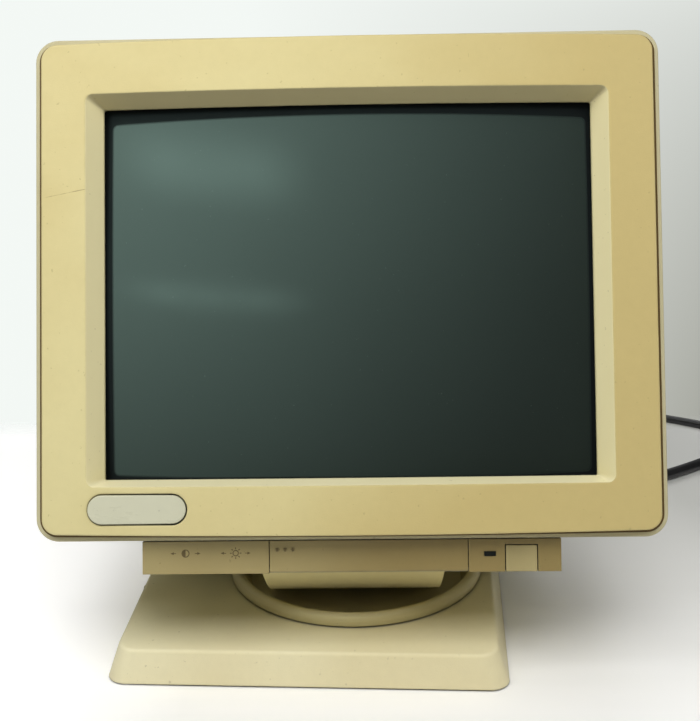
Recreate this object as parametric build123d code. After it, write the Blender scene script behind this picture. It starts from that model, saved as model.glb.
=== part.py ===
from build123d import *
import math
import os

# A 15 inch cathode-ray-tube desktop monitor on a low tilt-and-swivel pedestal.
# Millimetres. World frame: origin on the table under the swivel axis, +X right, +Y back, +Z up.
# The head is drawn in its own frame (x right, y back from the side edges of the bezel, z up from the
# middle of the bezel) and is then leaned back on its tilt axis.

# ---------------------------------------------------------------- posture and axes
HEAD_TILT = 20.0           # how far the head leans back as it stands, its rear stop
TILT_FORWARD = 5.0         # how far it can lean forward of upright
SWIVEL_AT_REST = 2.5       # how far the head stands turned on its base, seen from above
AXIS_DEPTH = 112.0         # tilt axis behind the bezel, in the head's frame

# ---------------------------------------------------------------- picture tube
TUBE_W = 306.0
TUBE_H = 244.0
TUBE_CORNER_R = 30.0
TUBE_Z = -2.6              # tube axis above the middle of the bezel
GLASS_R = 1650.0           # curvature of the screen
GLASS_FRONT = 6.7          # pole of the screen behind the bezel's side edges
PANEL_GLASS = 11.0
SKIRT_GLASS = 8.0
PANEL_END = 82.0           # faceplate skirt meets the funnel here
FUNNEL_GLASS = 4.0
FUNNEL_LENGTH = 118.0      # four-sided part of the funnel
CONE_R = 58.0
CONE_LENGTH = 40.0         # round part of the funnel
NECK_R = 14.6
NECK_LENGTH = 110.0
NECK_GLASS = 2.0
BAND_DEPTH = 44.0          # implosion band behind the bezel's side edges
BAND_THICK = 1.5
BAND_WIDTH = 26.0
EAR_OUT = 7.0              # ears beside and above the corners of the tube
EAR_UP = 3.0
EAR_HALF = 7.0             # ear from its screw to its outer edges
EAR_LAP = 26.0             # and back over the band
DEGAUSS_R = 5.5
DEGAUSS_GAP = 2.0

# ---------------------------------------------------------------- bezel and screen opening
FACE_SIDE = 23.25          # bezel plate beyond each side of the tube
FACE_TOP = 19.25           # and above and below it
FACE_CROWN = 7.0           # its middle stands this far ahead of its sides
FACE_TOP_BOW = 0.8         # middle of the top edge above its corners
FACE_BOTTOM_BOW = 1.2      # middle of the bottom edge below its corners
FACE_CORNER_R = 9.0
SHELL_WALL = 3.0           # moulded wall of the head's shells
FACE_BACK = 12.0           # rear edge of the bezel's side walls
LIP_DEPTH = 13.0           # lip of the screen opening behind the crowned front
LIP_SIDE = 11.3            # how far the lip covers each edge of the tube
LIP_TOP = 14.2
LIP_BOTTOM = 13.9
LIP_R = 0.9                # corners of the opening at the lip
LIP_GAP = 0.8              # bezel wall behind the lip to the glass
LIP_STEP = 1.2             # the wall steps outwards behind the lip
BEVEL_SIDE = 8.6           # width of the sloping sides of the opening
BEVEL_TOP = 6.8
BEVEL_BOTTOM = 3.6
BEVEL_R = 4.6              # corners of the opening at the front
BADGE_INSET = 55.2         # middle of the badge from the left edge of the plate
BADGE_RISE = 14.2          # and above its lower edge
BADGE_W = 56.4
BADGE_H = 16.4
BADGE_THICK = 2.2
BADGE_RECESS = 2.0         # depth of the pocket the badge sits in
BADGE_GAP = 0.8
POST_BEZEL_R = 6.5         # posts that carry the ears of the tube
PAD_W = 12.0               # pads that centre the plate in the rim of the cover
PAD_FRONT = 7.0

# ---------------------------------------------------------------- rear cover
RIM_MARGIN = 4.3           # the cover's front rim shows this much around the bezel
RIM_SETBACK = 5.0          # rim behind the bezel's side edges
RIM_CORNER_R = 13.0
SHOULDER_DEPTH = 78.0      # the cover keeps its full size to here
WAIST_DEPTH = 235.0        # and has narrowed to the rear box here
REAR_ROOM = 35.0           # end of the tube's neck to the back of the cover
WAIST_SIDE_IN = 48.25      # waist inside the edges of the bezel plate
WAIST_TOP_IN = 38.25
WAIST_BOTTOM_IN = 29.25
REAR_SIDE_IN = 56.25       # and the rear face
REAR_TOP_IN = 47.25
REAR_BOTTOM_IN = 57.25
REAR_CORNER_R = 14.0
VENT_W = 3.2
VENT_PITCH = 8.0
TOP_VENT_START = 22.5      # first of two rows of slots in the top, behind the waist
TOP_VENT_LENGTH = 48.0
TOP_VENT_GAP = 7.5
TOP_VENT_SPAN = 84.0       # rows reach this far from their middle
SIDE_VENT_FROM_BACK = 75.0
SIDE_VENT_LOW = 34.0       # side slots below and above the middle of the bezel
SIDE_VENT_HIGH = 47.0
SIDE_VENT_SPAN = 45.0
BACK_VENT_LOW = 22.5       # slots in the back, above the middle of the bezel
BACK_VENT_HIGH = 62.0
BACK_VENT_SPAN = 60.0
GROOVE_DEPTH = 1.0         # moulded groove round the cover, behind the rim
GROOVE_W = 1.8
GROOVE_BACK = 22.0
COVER_SCREW_R = 2.0
COVER_SCREW_INSET = 16.0   # screws from the sides and ends of the rear face
COVER_SCREW_RISE = 18.0
NUT_HALF = 6.0             # clip nuts behind the rear wall
NUT_THICK = 5.0
PLATE_W = 84.0             # bare rating plate on the back
PLATE_H = 30.0
PLATE_THICK = 0.8
PLATE_Z = -4.0

# ---------------------------------------------------------------- chin and its controls
CHIN_INSET = 7.6           # chin inside the waist of the cover, each side
CHIN_GAP = 5.35            # upper edge of the control strip below the bezel plate
CHIN_H = 18.7
CHIN_FACE = 10.0           # control strip behind the bezel's side edges
PANEL_THICK = 3.0
CHIN_FLAT_END = 125.0      # the underside is level to here, then slopes up to the waist
DOOR_W = 114.8
DOOR_GAP = 0.5
DOOR_THICK = 2.4
DOOR_PIN_R = 0.7
DOOR_PIN_REACH = 2.0
DOT_INSET = 9.3            # three small raised marks on the door
DOT_DROP = 5.1
DOT_PITCH = 4.5
DOT_W = 2.0
DOT_H = 1.4
DOT_RAISE = 0.5
POCKET_DEPTH = 18.0        # control pocket behind the door
POCKET_WALL = 2.0
BUTTON_INSET = 22.7        # middle of the button from the right end of the strip
BUTTON_W = 17.8
BUTTON_H = 15.0
BUTTON_GAP = 0.6
BUTTON_DEPTH = 11.0
BUTTON_TRAVEL = 3.0
BUTTON_SCOOP = 0.6         # its face is hollowed by this much
BUTTON_SCOOP_R = 60.0
STEM_R = 2.5
SWITCH_HALF = 8.0
SWITCH_LENGTH = 18.0
SWITCH_REACH = 5.0         # stem inside the switch at rest
LED_FROM_BUTTON = 18.0
DOOR_FROM_LED = 12.2       # right end of the door from the middle of the indicator
LED_RISE = 10.3            # above the underside
LED_W = 6.6
LED_H = 2.6
LED_R = 1.5
CONTRAST_INSET = 24.9      # from the left end of the strip
WHEEL_PITCH = 29.0
WHEEL_R = 11.0
WHEEL_THICK = 5.0
WHEEL_SHOW = 1.8           # how far the thumbwheels stand below the chin
WHEEL_BACK = 14.0          # front face of the wheels behind the face of the strip
WHEEL_NOTCHES = 28
TRIM_COUNT = 4
TRIM_PITCH = 22.0
TRIM_R = 3.2
TRIM_LENGTH = 8.0
SHAFT_R = 1.5
POT_HALF = 4.6
POT_DEPTH = 5.0

# ---------------------------------------------------------------- saddle and turntable
SADDLE_R = 100.0           # underside of the saddle foot, about the tilt axis
SADDLE_DROP = 21.7         # how far the saddle stands below the chin
SADDLE_LIFT = 3.5          # its lowest point above the floor of the dish
SADDLE_WALL = 3.5
SADDLE_HALF_W = 56.5       # at the chin
SADDLE_TAPER = 0.13        # each side draws in by this much per mm of drop
SADDLE_SCREW_R = 2.0
SADDLE_BOSS_R = 5.0
SADDLE_BOSS_H = 9.0
SADDLE_HEAD_H = 2.0
SADDLE_SCREW_AHEAD = 29.0  # front screws ahead of the tilt axis
GLIDE_GAP = 0.3            # saddle to its cradle and to the clamp shoe
RAIL_INSET = 12.5          # cradle rails inside the sides of the saddle
RAIL_W = 16.0
RAIL_FRONT = -8.0
RAIL_BACK = 55.0
POST_R = 5.0
POST_GAP = 1.0             # post to the slot in the saddle
SHOE_THICK = 4.0
SHOE_HALF_W = 18.0
SHOE_SPAN = 9.0            # degrees each side of straight down
CLAMP_SCREW_R = 2.0
SPRING_LENGTH = 5.0
DISH_FLOOR = 14.5          # upper face of the dish above the table
DISH_WALL = 3.0
DISH_ROOM = 15.0           # floor of the dish beyond the sides of the saddle
DISH_FLARE = 5.9
RIM_W = 6.9
RIM_H = 7.3
RIM_LIFT = 1.1             # rim above the top of the base
HUB_R = 15.0
SWIVEL_SCREW_R = 2.5
SWIVEL_HEAD_H = 2.4
WASHER_THICK = 1.5
PLAY = 0.2                 # axial running clearance
RUN_GAP = 0.05             # radial running clearance
BUSH_THICK = 2.0
GLIDE_INSET = 8.0          # glide ring inside the floor of the dish
GLIDE_W = 16.0
SCREW_GAP = 0.3

# ---------------------------------------------------------------- base
BASE_MARGIN_LEFT = 61.4    # the turntable sits right of the middle of the base
BASE_MARGIN_RIGHT = 13.8
BASE_MARGIN_FRONT = 34.1
BASE_MARGIN_BACK = 30.7
BASE_TOP = 21.8
BASE_DRAFT_SIDE = 7.0      # how much each side closes from the bottom to the top
BASE_DRAFT_END = 4.8
BASE_CORNER_R = 12.0
BASE_EDGE_R = 2.5
BASE_LIFT = 1.2            # lower edge above the table
BASE_WALL = 3.0
WELL_GAP = 2.0             # base well around the dish
WEB_BOTTOM = 6.0
RIB_THICK = 2.4
RIB_SPREAD = 30.0
FOOT_R = 8.0
FOOT_THICK = 3.0
FOOT_INSET = 18.0

# ---------------------------------------------------------------- inside the head
BOARD_INSET = 13.4         # main board inside the walls of the chin
BOARD_FRONT = 50.0
BOARD_THICK = 1.6
BOARD_LIFT = 20.1          # main board above the chassis
BOARD_CLEAR = 4.3          # its rear edge above the sloping floor
CHASSIS_THICK = 1.2
CHASSIS_GAP = 1.0
STANDOFF_R = 3.5
STANDOFF_INSET = 8.0
ROW_DEPTH = 36.0           # row of tall parts along the rear of the main board
ROW_GAP = 2.0
CORE_W = 48.0
CORE_H = 30.0
CORE_INSET = 12.0
WINDING_IN = 8.0
WINDING_OUT = 6.0
FLYBACK_R = 15.0
FLYBACK_H = 32.0
FLYBACK_INSET = 30.0
SINK_H = 30.0
SINK_THICK = 3.0
SINK_PITCH = 60.0
FIN_SPAN = 16.0
FIN_THICK = 2.0
FIN_PITCH = 10.0
FIN_COUNT = 4
CAN_COUNT = 4
CAN_R = 4.0
CAN_H = 22.0
CAN_PITCH = 10.0
YOKE_FLANGE = 20.0         # yoke beyond the cone
YOKE_COLLAR = 8.0
YOKE_CLEAR = 3.0
RING_COUNT = 6
RING_PITCH = 4.5
RING_THICK = 3.0
RING_SPAN = 11.0
NECK_BOARD_HALF = 45.0
NECK_BOARD_UP = 36.0
NECK_BOARD_BACK = 20.0     # neck board ahead of the end of the neck
SOCKET_WALL = 6.0

# ---------------------------------------------------------------- cords
MAINS_D = 7.0
SIGNAL_D = 9.0
INLET_X = -55.0
OUTLET_X = 60.0
EXIT_Z = -48.0             # both cords leave the rear face at this height
INLET_W = 27.0
INLET_H = 20.0
INLET_WALL = 2.5
INLET_DEEP = 24.0
INLET_FLANGE = 1.5         # its flange is this thick
INLET_FLANGE_SIDE = 5.0    # and laps the cover this far at the sides
INLET_FLANGE_END = 2.0     # and this far above and below
PIN_W = 4.0
PIN_THICK = 2.0
PIN_SPREAD = 7.0           # outer pins to each side of the middle one
PIN_STEP = 4.0             # middle pin above the outer ones
NOSE_GAP = 0.15            # connector clear of the inlet's walls and pins
CONNECTOR_LENGTH = 32.0
BOOT_LENGTH = 24.0
RELIEF_LENGTH = 36.0
MAINS_ROUTE = [            # x, y and height of the cord above its rest on the table
    (-51.0, 388.0, 13.0),
    (-37.0, 415.0, 4.0),
    (-13.0, 437.0, 0.0),
    (22.0, 451.0, 0.0),
    (62.0, 458.0, 0.0),
    (108.0, 456.0, 0.0),
    (152.0, 441.0, 0.0),
    (190.0, 412.0, 0.0),
    (224.0, 376.0, 0.0),
    (258.0, 343.4, 0.0),
    (297.0, 321.9, 0.0),
    (324.0, 303.0, 0.0),
    (346.0, 286.0, 0.0),
]
SIGNAL_ROUTE = [
    (65.0, 374.0, 16.4),
    (80.0, 405.0, 4.4),
    (105.0, 428.0, 0.0),
    (138.0, 432.0, 0.0),
    (167.0, 415.0, 0.0),
    (180.0, 383.0, 0.0),
    (173.0, 336.0, 0.0),
    (162.0, 282.0, 0.0),
    (161.3, 228.8, 0.0),
    (178.8, 199.7, 0.0),
    (209.0, 184.1, 0.0),
    (242.9, 186.5, 0.0),
    (290.0, 220.3, 0.0),
    (322.8, 246.6, 0.0),
]
MAINS_COIL = (373.8, 322.0)
MAINS_COIL_R = 38.5        # middle of the turns
MAINS_COIL_WIDE = 3
SIGNAL_COIL = (355.3, 206.0)
SIGNAL_COIL_R = 47.5
SIGNAL_COIL_WIDE = 2
COIL_HIGH = 2
TAIL_LENGTH = 34.0
LEAD = 35.0                # both cords run straight on this far from their reliefs
LIE = 0.1                  # coils and cords clear the table by this much

# ---------------------------------------------------------------- plugs
PLUG_LIE = 0.2             # plugs clear the table by this much
PLUG_SLEEVE = 2.0          # boots are this much thicker all round than their cords
PLUG_LAP = 2.0             # boots run this far into the bodies
PLUG_BOOT = 20.0
PLUG_HALF_W = 13.0
PLUG_TOP = 22.0
PLUG_LENGTH = 26.0
PLUG_EDGE_R = 4.0
BLADE_SPREAD = 6.35        # blades to each side of the middle
BLADE_THICK = 1.5
BLADE_LOW = 10.0
BLADE_TOP = 16.5
BLADE_OUT = 16.0
EARTH_R = 2.4
EARTH_RISE = 5.5
EARTH_OUT = 20.0
DSUB_BOOT = 22.0
DSUB_HALF_W = 16.0
DSUB_TOP = 15.2
DSUB_LENGTH = 32.0
DSUB_EDGE_R = 3.0
DSUB_FLANGE_HALF_W = 15.5
DSUB_FLANGE_EDGE = 1.2     # flange inside the top and bottom of the body
DSUB_SHELL_HALF_W = 8.2
DSUB_SHELL_HALF_H = 4.0
DSUB_SHELL_WALL = 0.6
DSUB_SHELL_OUT = 7.0
DSUB_ROW_PITCH = 2.0
DSUB_PIN_PITCH = 2.3
DSUB_PIN_R = 0.4
THUMB_SPREAD = 12.5        # thumbscrews to each side of the middle
THUMB_R = 1.7
THUMB_HEAD_R = 3.0
THUMB_HEAD_LENGTH = 9.0
THUMB_OUT = 5.0

FAR = 600.0                # longer than the whole object, for cutting tools

# ---------------------------------------------------------------- worked out from the above
FACE_W = TUBE_W + 2 * FACE_SIDE
FACE_H = TUBE_H + 2 * FACE_TOP
CONE_FRONT = PANEL_END + FUNNEL_LENGTH
CONE_BACK = CONE_FRONT + CONE_LENGTH
NECK_END = CONE_BACK + NECK_LENGTH
COVER_DEPTH = NECK_END + REAR_ROOM
WAIST_HALF_W = FACE_W / 2 - WAIST_SIDE_IN
WAIST_TOP = FACE_H / 2 - WAIST_TOP_IN
WAIST_BOTTOM = FACE_H / 2 - WAIST_BOTTOM_IN
REAR_HALF_W = FACE_W / 2 - REAR_SIDE_IN
REAR_TOP = FACE_H / 2 - REAR_TOP_IN
REAR_BOTTOM = FACE_H / 2 - REAR_BOTTOM_IN
CHIN_HALF_W = WAIST_HALF_W - CHIN_INSET
CHIN_TOP = -FACE_H / 2 - CHIN_GAP
UNDERSIDE = CHIN_TOP - CHIN_H
CHIN_FLOOR = UNDERSIDE + SHELL_WALL
AXIS_Z = UNDERSIDE - SADDLE_DROP + SADDLE_R        # tilt axis in the head's frame
TILT_AXIS_Z = DISH_FLOOR + SADDLE_LIFT + SADDLE_R  # and above the table

BASE = Rot(0, 0, -SWIVEL_AT_REST)
HEAD = Pos(0, 0, TILT_AXIS_Z) * Rot(-HEAD_TILT, 0, 0) * Pos(0, -AXIS_DEPTH, -AXIS_Z)


# ================================================================ helpers
def block(x0, x1, y0, y1, z0, z1):
    """A box between two corners."""
    middle = Pos((x0 + x1) / 2, (y0 + y1) / 2, (z0 + z1) / 2)
    return middle * Box(x1 - x0, y1 - y0, z1 - z0)


def facing(y, x=0.0, z=0.0):
    """A plane at depth y, seen from the front: local x is right, local y is up."""
    return Plane(origin=(x, y, z), x_dir=(1, 0, 0), z_dir=(0, -1, 0))


def frame_section(y, half_w, z0, z1, radius):
    """A rounded rectangle at depth y, between heights z0 and z1."""
    return facing(y, 0, (z0 + z1) / 2) * RectangleRounded(2 * half_w, z1 - z0, radius)


def rod_y(x, z, radius, y0, y1):
    """A round bar along y."""
    return extrude(facing(y1, x, z) * Circle(radius), amount=y1 - y0)


def rod_x(y, z, radius, x0, x1):
    """A round bar along x."""
    start = Plane(origin=(x0, y, z), x_dir=(0, 1, 0), z_dir=(1, 0, 0))
    return extrude(start * Circle(radius), amount=x1 - x0)


def rod_z(x, y, radius, z0, z1):
    """A round bar along z."""
    return Pos(x, y, (z0 + z1) / 2) * Cylinder(radius, z1 - z0)


def side_prism(points, x0, x1):
    """A closed outline of (y, z) points, extruded along x."""
    start = Plane(origin=(x0, 0, 0), x_dir=(0, 1, 0), z_dir=(1, 0, 0))
    return extrude(start * Polygon(*points, align=None), amount=x1 - x0, dir=(1, 0, 0))


def arc_band(cy, cz, r_in, r_out, a0, a1, x0, x1):
    """Part of a tube along x about (cy, cz), from angle a0 to a1 counted back from straight down."""
    def at(radius, degrees):
        angle = math.radians(degrees)
        return (cy + radius * math.sin(angle), cz - radius * math.cos(angle))

    middle = (a0 + a1) / 2
    outline = (
        ThreePointArc(at(r_out, a0), at(r_out, middle), at(r_out, a1))
        + Line(at(r_out, a1), at(r_in, a1))
        + ThreePointArc(at(r_in, a1), at(r_in, middle), at(r_in, a0))
        + Line(at(r_in, a0), at(r_out, a0))
    )
    start = Plane(origin=(x0, 0, 0), x_dir=(0, 1, 0), z_dir=(1, 0, 0))
    return extrude(start * make_face(outline), amount=x1 - x0, dir=(1, 0, 0))


def spun_y(points, x=0.0, z=0.0):
    """A closed outline of (radius, y) points, turned about an axis along y."""
    profile = Plane.XY * Polygon(*points, align=None)
    return Pos(x, 0, z) * revolve(profile, Axis.Y)


def pill(width, height):
    """A slot-ended outline, as wide as given overall."""
    return RectangleRounded(width, height, height / 2 - 0.01)


def joined(shapes):
    """Several overlapping or touching shapes as one."""
    whole = shapes[0]
    for shape in shapes[1:]:
        whole = whole + shape
    return whole


def group(shapes):
    """Several separate solids as one node."""
    return Compound(children=[solid for shape in shapes for solid in shape.solids()])


def spread(count, pitch):
    """Places of a centred row."""
    return [(i - (count - 1) / 2) * pitch for i in range(count)]


def head_point(x, y, z):
    """A point of the head's frame in the world."""
    place = (HEAD * Pos(x, y, z)).position
    return (place.X, place.Y, place.Z)


PARTS = {}


def keep(name, shape, place=Pos(0, 0, 0)):
    """Record one sub-part under its node name, moved from its own frame into the world."""
    PARTS[name] = place * shape


# ================================================================ base
dish_floor_r = SADDLE_HALF_W + DISH_ROOM
rim_inner_r = dish_floor_r + DISH_FLARE
rim_outer_r = rim_inner_r + RIM_W
rim_foot = BASE_TOP + RIM_LIFT
rim_crest = rim_foot + RIM_H
dish_under = DISH_FLOOR - DISH_WALL
web_top = WEB_BOTTOM + BASE_WALL
well_r = rim_inner_r + WELL_GAP
bush_r = HUB_R + RUN_GAP + BUSH_THICK
base_left = -rim_outer_r - BASE_MARGIN_LEFT
base_right = rim_outer_r + BASE_MARGIN_RIGHT
base_front = -rim_outer_r - BASE_MARGIN_FRONT
base_back = rim_outer_r + BASE_MARGIN_BACK


def base_block(inset, z0, z1):
    """The drafted block of the base, its sides moved in by inset, between two heights."""
    def section(z):
        share = (z - BASE_LIFT) / (BASE_TOP - BASE_LIFT)
        side = inset + BASE_DRAFT_SIDE * share
        end = inset + BASE_DRAFT_END * share
        x0, x1 = base_left + side, base_right - side
        y0, y1 = base_front + end, base_back - end
        outline = RectangleRounded(x1 - x0, y1 - y0, max(BASE_CORNER_R - inset, 1.0))
        return Pos((x0 + x1) / 2, (y0 + y1) / 2, z) * outline

    return loft([section(z0), section(z1)], ruled=True)


def base_feet_places():
    """Where the rubber feet stand, near the four corners."""
    for x in (base_left + FOOT_INSET, base_right - FOOT_INSET):
        for y in (base_front + FOOT_INSET, base_back - FOOT_INSET):
            yield x, y


def build_base():
    ceiling = BASE_TOP - BASE_WALL
    inside_top = ceiling + BASE_WALL / 2
    outer = base_block(0.0, BASE_LIFT, BASE_TOP)
    outer = fillet(outer.faces().sort_by(Axis.Z)[-1].edges(), BASE_EDGE_R)
    shell = outer - base_block(BASE_WALL, BASE_LIFT - 1.0, ceiling)
    well_wall = rod_z(0, 0, well_r + BASE_WALL, WEB_BOTTOM, inside_top)
    shell = shell + well_wall - rod_z(0, 0, well_r, web_top, BASE_TOP + 1)
    for x, y in base_feet_places():
        shell = shell + rod_z(x, y, FOOT_R + 1.5, FOOT_THICK, inside_top)
    rib_left = base_left + 2 * BASE_WALL
    ribs = [
        block(rib_left, -well_r - 1, y - RIB_THICK / 2, y + RIB_THICK / 2, WEB_BOTTOM, inside_top)
        for y in (-RIB_SPREAD, RIB_SPREAD)
    ]
    shell = joined([shell] + ribs)
    shell = shell - rod_z(0, 0, bush_r, WEB_BOTTOM - 1, web_top + 1)
    keep("base_shell", shell, BASE)
    keep("base_feet", group([rod_z(x, y, FOOT_R, 0, FOOT_THICK) for x, y in base_feet_places()]), BASE)
    bushing = rod_z(0, 0, bush_r, WEB_BOTTOM, web_top)
    keep("swivel_bushing", bushing - rod_z(0, 0, HUB_R + RUN_GAP, WEB_BOTTOM - 1, web_top + 1))
    glide_r = dish_floor_r - GLIDE_INSET
    ring = rod_z(0, 0, glide_r, web_top, dish_under)
    keep("glide_ring", ring - rod_z(0, 0, glide_r - GLIDE_W, web_top - 1, dish_under + 1))


# ================================================================ turntable
washer_top = WEB_BOTTOM - PLAY
washer_low = washer_top - WASHER_THICK
shoe_outer = SADDLE_R - SADDLE_WALL - GLIDE_GAP
shoe_inner = shoe_outer - SHOE_THICK
post_top = TILT_AXIS_Z - shoe_outer
spring_low = TILT_AXIS_Z - shoe_inner - 1.0
clamp_head_z = spring_low + SPRING_LENGTH


def dish_profile():
    """The turned outline of the dish and its rolled rim, as (radius, z) points and one arc."""
    bend = 0.6 * RIM_W
    return (
        Polyline(
            (0, dish_under),
            (dish_floor_r, dish_under),
            (rim_inner_r - 0.4, BASE_TOP),
            (rim_inner_r + 1.4, rim_foot + 1.6),
            (rim_outer_r - 2.6, rim_foot + 1.6),
            (rim_outer_r - 2.6, rim_foot),
            (rim_outer_r, rim_foot),
            (rim_outer_r, rim_crest - bend),
        )
        + ThreePointArc(
            (rim_outer_r, rim_crest - bend),
            (rim_outer_r - 0.3 * bend, rim_crest - 0.3 * bend),
            (rim_outer_r - bend, rim_crest),
        )
        + Polyline(
            (rim_outer_r - bend, rim_crest),
            (rim_inner_r + 1.0, rim_crest - 0.5),
            (rim_inner_r, rim_crest - 1.5),
            (dish_floor_r - 0.6, DISH_FLOOR),
            (0, DISH_FLOOR),
            (0, dish_under),
        )
    )


def build_turntable():
    dish = revolve(Plane.XZ * make_face(dish_profile()), Axis.Z)
    hub = rod_z(0, 0, HUB_R, washer_top, dish_under)
    post = rod_z(0, 0, POST_R, DISH_FLOOR, post_top)
    cradle = rod_x(0, TILT_AXIS_Z, SADDLE_R + GLIDE_GAP, -FAR, FAR)
    rail_out = SADDLE_HALF_W - RAIL_INSET
    rails = [
        block(x0, x0 + RAIL_W, RAIL_FRONT, RAIL_BACK, DISH_FLOOR, rim_crest + 4) - cradle
        for x0 in (-rail_out, rail_out - RAIL_W)
    ]
    table = joined([dish, hub, post] + rails)
    bore_low = rod_z(0, 0, SWIVEL_SCREW_R, WEB_BOTTOM - 1, dish_under)
    bore_high = rod_z(0, 0, CLAMP_SCREW_R, DISH_FLOOR - 1, post_top + 1)
    keep("turntable", table - bore_low - bore_high)
    washer = rod_z(0, 0, bush_r + 3.0, washer_low, washer_top)
    keep("swivel_washer", washer - rod_z(0, 0, SWIVEL_SCREW_R, 0, WEB_BOTTOM))
    screw = rod_z(0, 0, 2 * SWIVEL_SCREW_R, washer_low - SWIVEL_HEAD_H, washer_low)
    keep("swivel_screw", screw + rod_z(0, 0, SWIVEL_SCREW_R, washer_low - 1, dish_under))


def build_clamp():
    """The sprung shoe that presses the saddle onto the cradle through its slot."""
    shoe = arc_band(
        0, TILT_AXIS_Z, shoe_inner, shoe_outer, -SHOE_SPAN, SHOE_SPAN, -SHOE_HALF_W, SHOE_HALF_W
    )
    shoe = shoe - rod_z(0, 0, CLAMP_SCREW_R, 0, TILT_AXIS_Z)
    shoe = shoe - rod_z(0, 0, 2.4 * CLAMP_SCREW_R, spring_low, TILT_AXIS_Z)
    keep("clamp_shoe", shoe)
    coil = rod_z(0, 0, 1.9 * CLAMP_SCREW_R, spring_low, clamp_head_z)
    keep("clamp_spring", coil - rod_z(0, 0, 1.2 * CLAMP_SCREW_R, 0, TILT_AXIS_Z))
    bolt = rod_z(0, 0, 2.2 * CLAMP_SCREW_R, clamp_head_z, clamp_head_z + 1.3 * CLAMP_SCREW_R)
    keep("clamp_screw", bolt + rod_z(0, 0, CLAMP_SCREW_R, DISH_FLOOR - 1, clamp_head_z + 1))


# ================================================================ saddle foot
def build_saddle():
    """The curved foot under the chin; returns where its screws stand."""
    below = side_prism(
        [
            (-SADDLE_R, UNDERSIDE),
            (CHIN_FLAT_END, UNDERSIDE),
            (WAIST_DEPTH, -WAIST_BOTTOM),
            (WAIST_DEPTH, -FAR),
            (-SADDLE_R, -FAR),
        ],
        -FAR,
        FAR,
    )
    drawn_in = SADDLE_TAPER * SADDLE_R
    tapered = facing(AXIS_DEPTH + SADDLE_R) * Polygon(
        (-SADDLE_HALF_W - drawn_in, UNDERSIDE + SADDLE_R),
        (SADDLE_HALF_W + drawn_in, UNDERSIDE + SADDLE_R),
        (SADDLE_HALF_W - drawn_in, UNDERSIDE - SADDLE_R),
        (-SADDLE_HALF_W + drawn_in, UNDERSIDE - SADDLE_R),
        align=None,
    )
    foot = rod_x(AXIS_DEPTH, AXIS_Z, SADDLE_R, -FAR, FAR) & below
    foot = foot & extrude(tapered, amount=2 * SADDLE_R, dir=(0, -1, 0))
    room_w = SADDLE_HALF_W - SADDLE_TAPER * SADDLE_DROP - SADDLE_WALL
    foot = foot - rod_x(AXIS_DEPTH, AXIS_Z, SADDLE_R - SADDLE_WALL, -room_w, room_w)
    slot_angle = math.degrees((POST_R + 1.5 * POST_GAP) / SADDLE_R)
    foot = foot - arc_band(
        AXIS_DEPTH,
        AXIS_Z,
        SADDLE_R - 2 * SADDLE_WALL,
        SADDLE_R + SADDLE_WALL,
        -TILT_FORWARD - slot_angle,
        HEAD_TILT + slot_angle,
        -POST_R - POST_GAP,
        POST_R + POST_GAP,
    )
    boss_low = UNDERSIDE - SADDLE_BOSS_H
    screw_x = room_w - SADDLE_BOSS_R + 1
    screws, places = [], []
    for x in (-screw_x, screw_x):
        for y in (AXIS_DEPTH - SADDLE_SCREW_AHEAD, CHIN_FLAT_END - 1.6 * SADDLE_BOSS_R):
            foot = foot + rod_z(x, y, SADDLE_BOSS_R, boss_low, UNDERSIDE)
            foot = foot - rod_z(x, y, SADDLE_SCREW_R + SCREW_GAP, boss_low - 1, UNDERSIDE + 1)
            shank = rod_z(x, y, SADDLE_SCREW_R, boss_low, CHIN_FLOOR + CHASSIS_THICK)
            screws.append(shank + rod_z(x, y, 2 * SADDLE_SCREW_R, boss_low - SADDLE_HEAD_H, boss_low))
            places.append((x, y))
    keep("saddle_foot", foot, HEAD)
    keep("saddle_screws", group(screws), HEAD)
    return places


# ================================================================ bezel
crown_r = ((FACE_W / 2) ** 2 + FACE_CROWN**2) / (2 * FACE_CROWN)
lip_half_w = TUBE_W / 2 - LIP_SIDE
lip_top = TUBE_H / 2 + TUBE_Z - LIP_TOP
lip_bottom = TUBE_H / 2 - TUBE_Z - LIP_BOTTOM
edge_half_w = lip_half_w + BEVEL_SIDE
edge_y = edge_half_w**2 / (2 * crown_r) - FACE_CROWN
lip_y = lip_half_w**2 / (2 * crown_r) - FACE_CROWN + LIP_DEPTH
glass_limit = GLASS_FRONT + 20.0
ear_x = TUBE_W / 2 + EAR_OUT
ear_z = TUBE_H / 2 + EAR_UP
tube_screw_r = 2.0


def crown(inset):
    """The crowned front as a big upright cylinder, moved back by inset."""
    return Pos(0, crown_r - FACE_CROWN, 0) * Cylinder(crown_r - inset, FAR)


def face_outline(inset, y):
    """The outline of the bezel plate, its top and bottom edges slightly bowed."""
    w, h = FACE_W / 2 - inset, FACE_H / 2 - inset
    edges = (
        Line((-w, -h), (-w, h))
        + ThreePointArc((-w, h), (0, h + FACE_TOP_BOW), (w, h))
        + Line((w, h), (w, -h))
        + ThreePointArc((w, -h), (0, -h - FACE_BOTTOM_BOW), (-w, -h))
    )
    sketch = make_face(edges)
    return facing(y) * fillet(sketch.vertices(), max(FACE_CORNER_R - inset, 1.0))


def opening_frame(grow, y1):
    """The tapering screen opening with its rounded corners, from ahead of the plate to depth y1."""
    def section(y):
        share = (y - edge_y) / (lip_y - edge_y)
        half_w = edge_half_w - BEVEL_SIDE * share + grow
        top = lip_top + BEVEL_TOP * (1 - share) + grow
        bottom = lip_bottom + BEVEL_BOTTOM * (1 - share) + grow
        radius = max(LIP_R + (BEVEL_R - LIP_R) * (1 - share) + grow, 0.4)
        return frame_section(y, half_w, -bottom, top, radius)

    return loft([section(-FACE_CROWN - 4), section(y1)], ruled=True)


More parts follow.
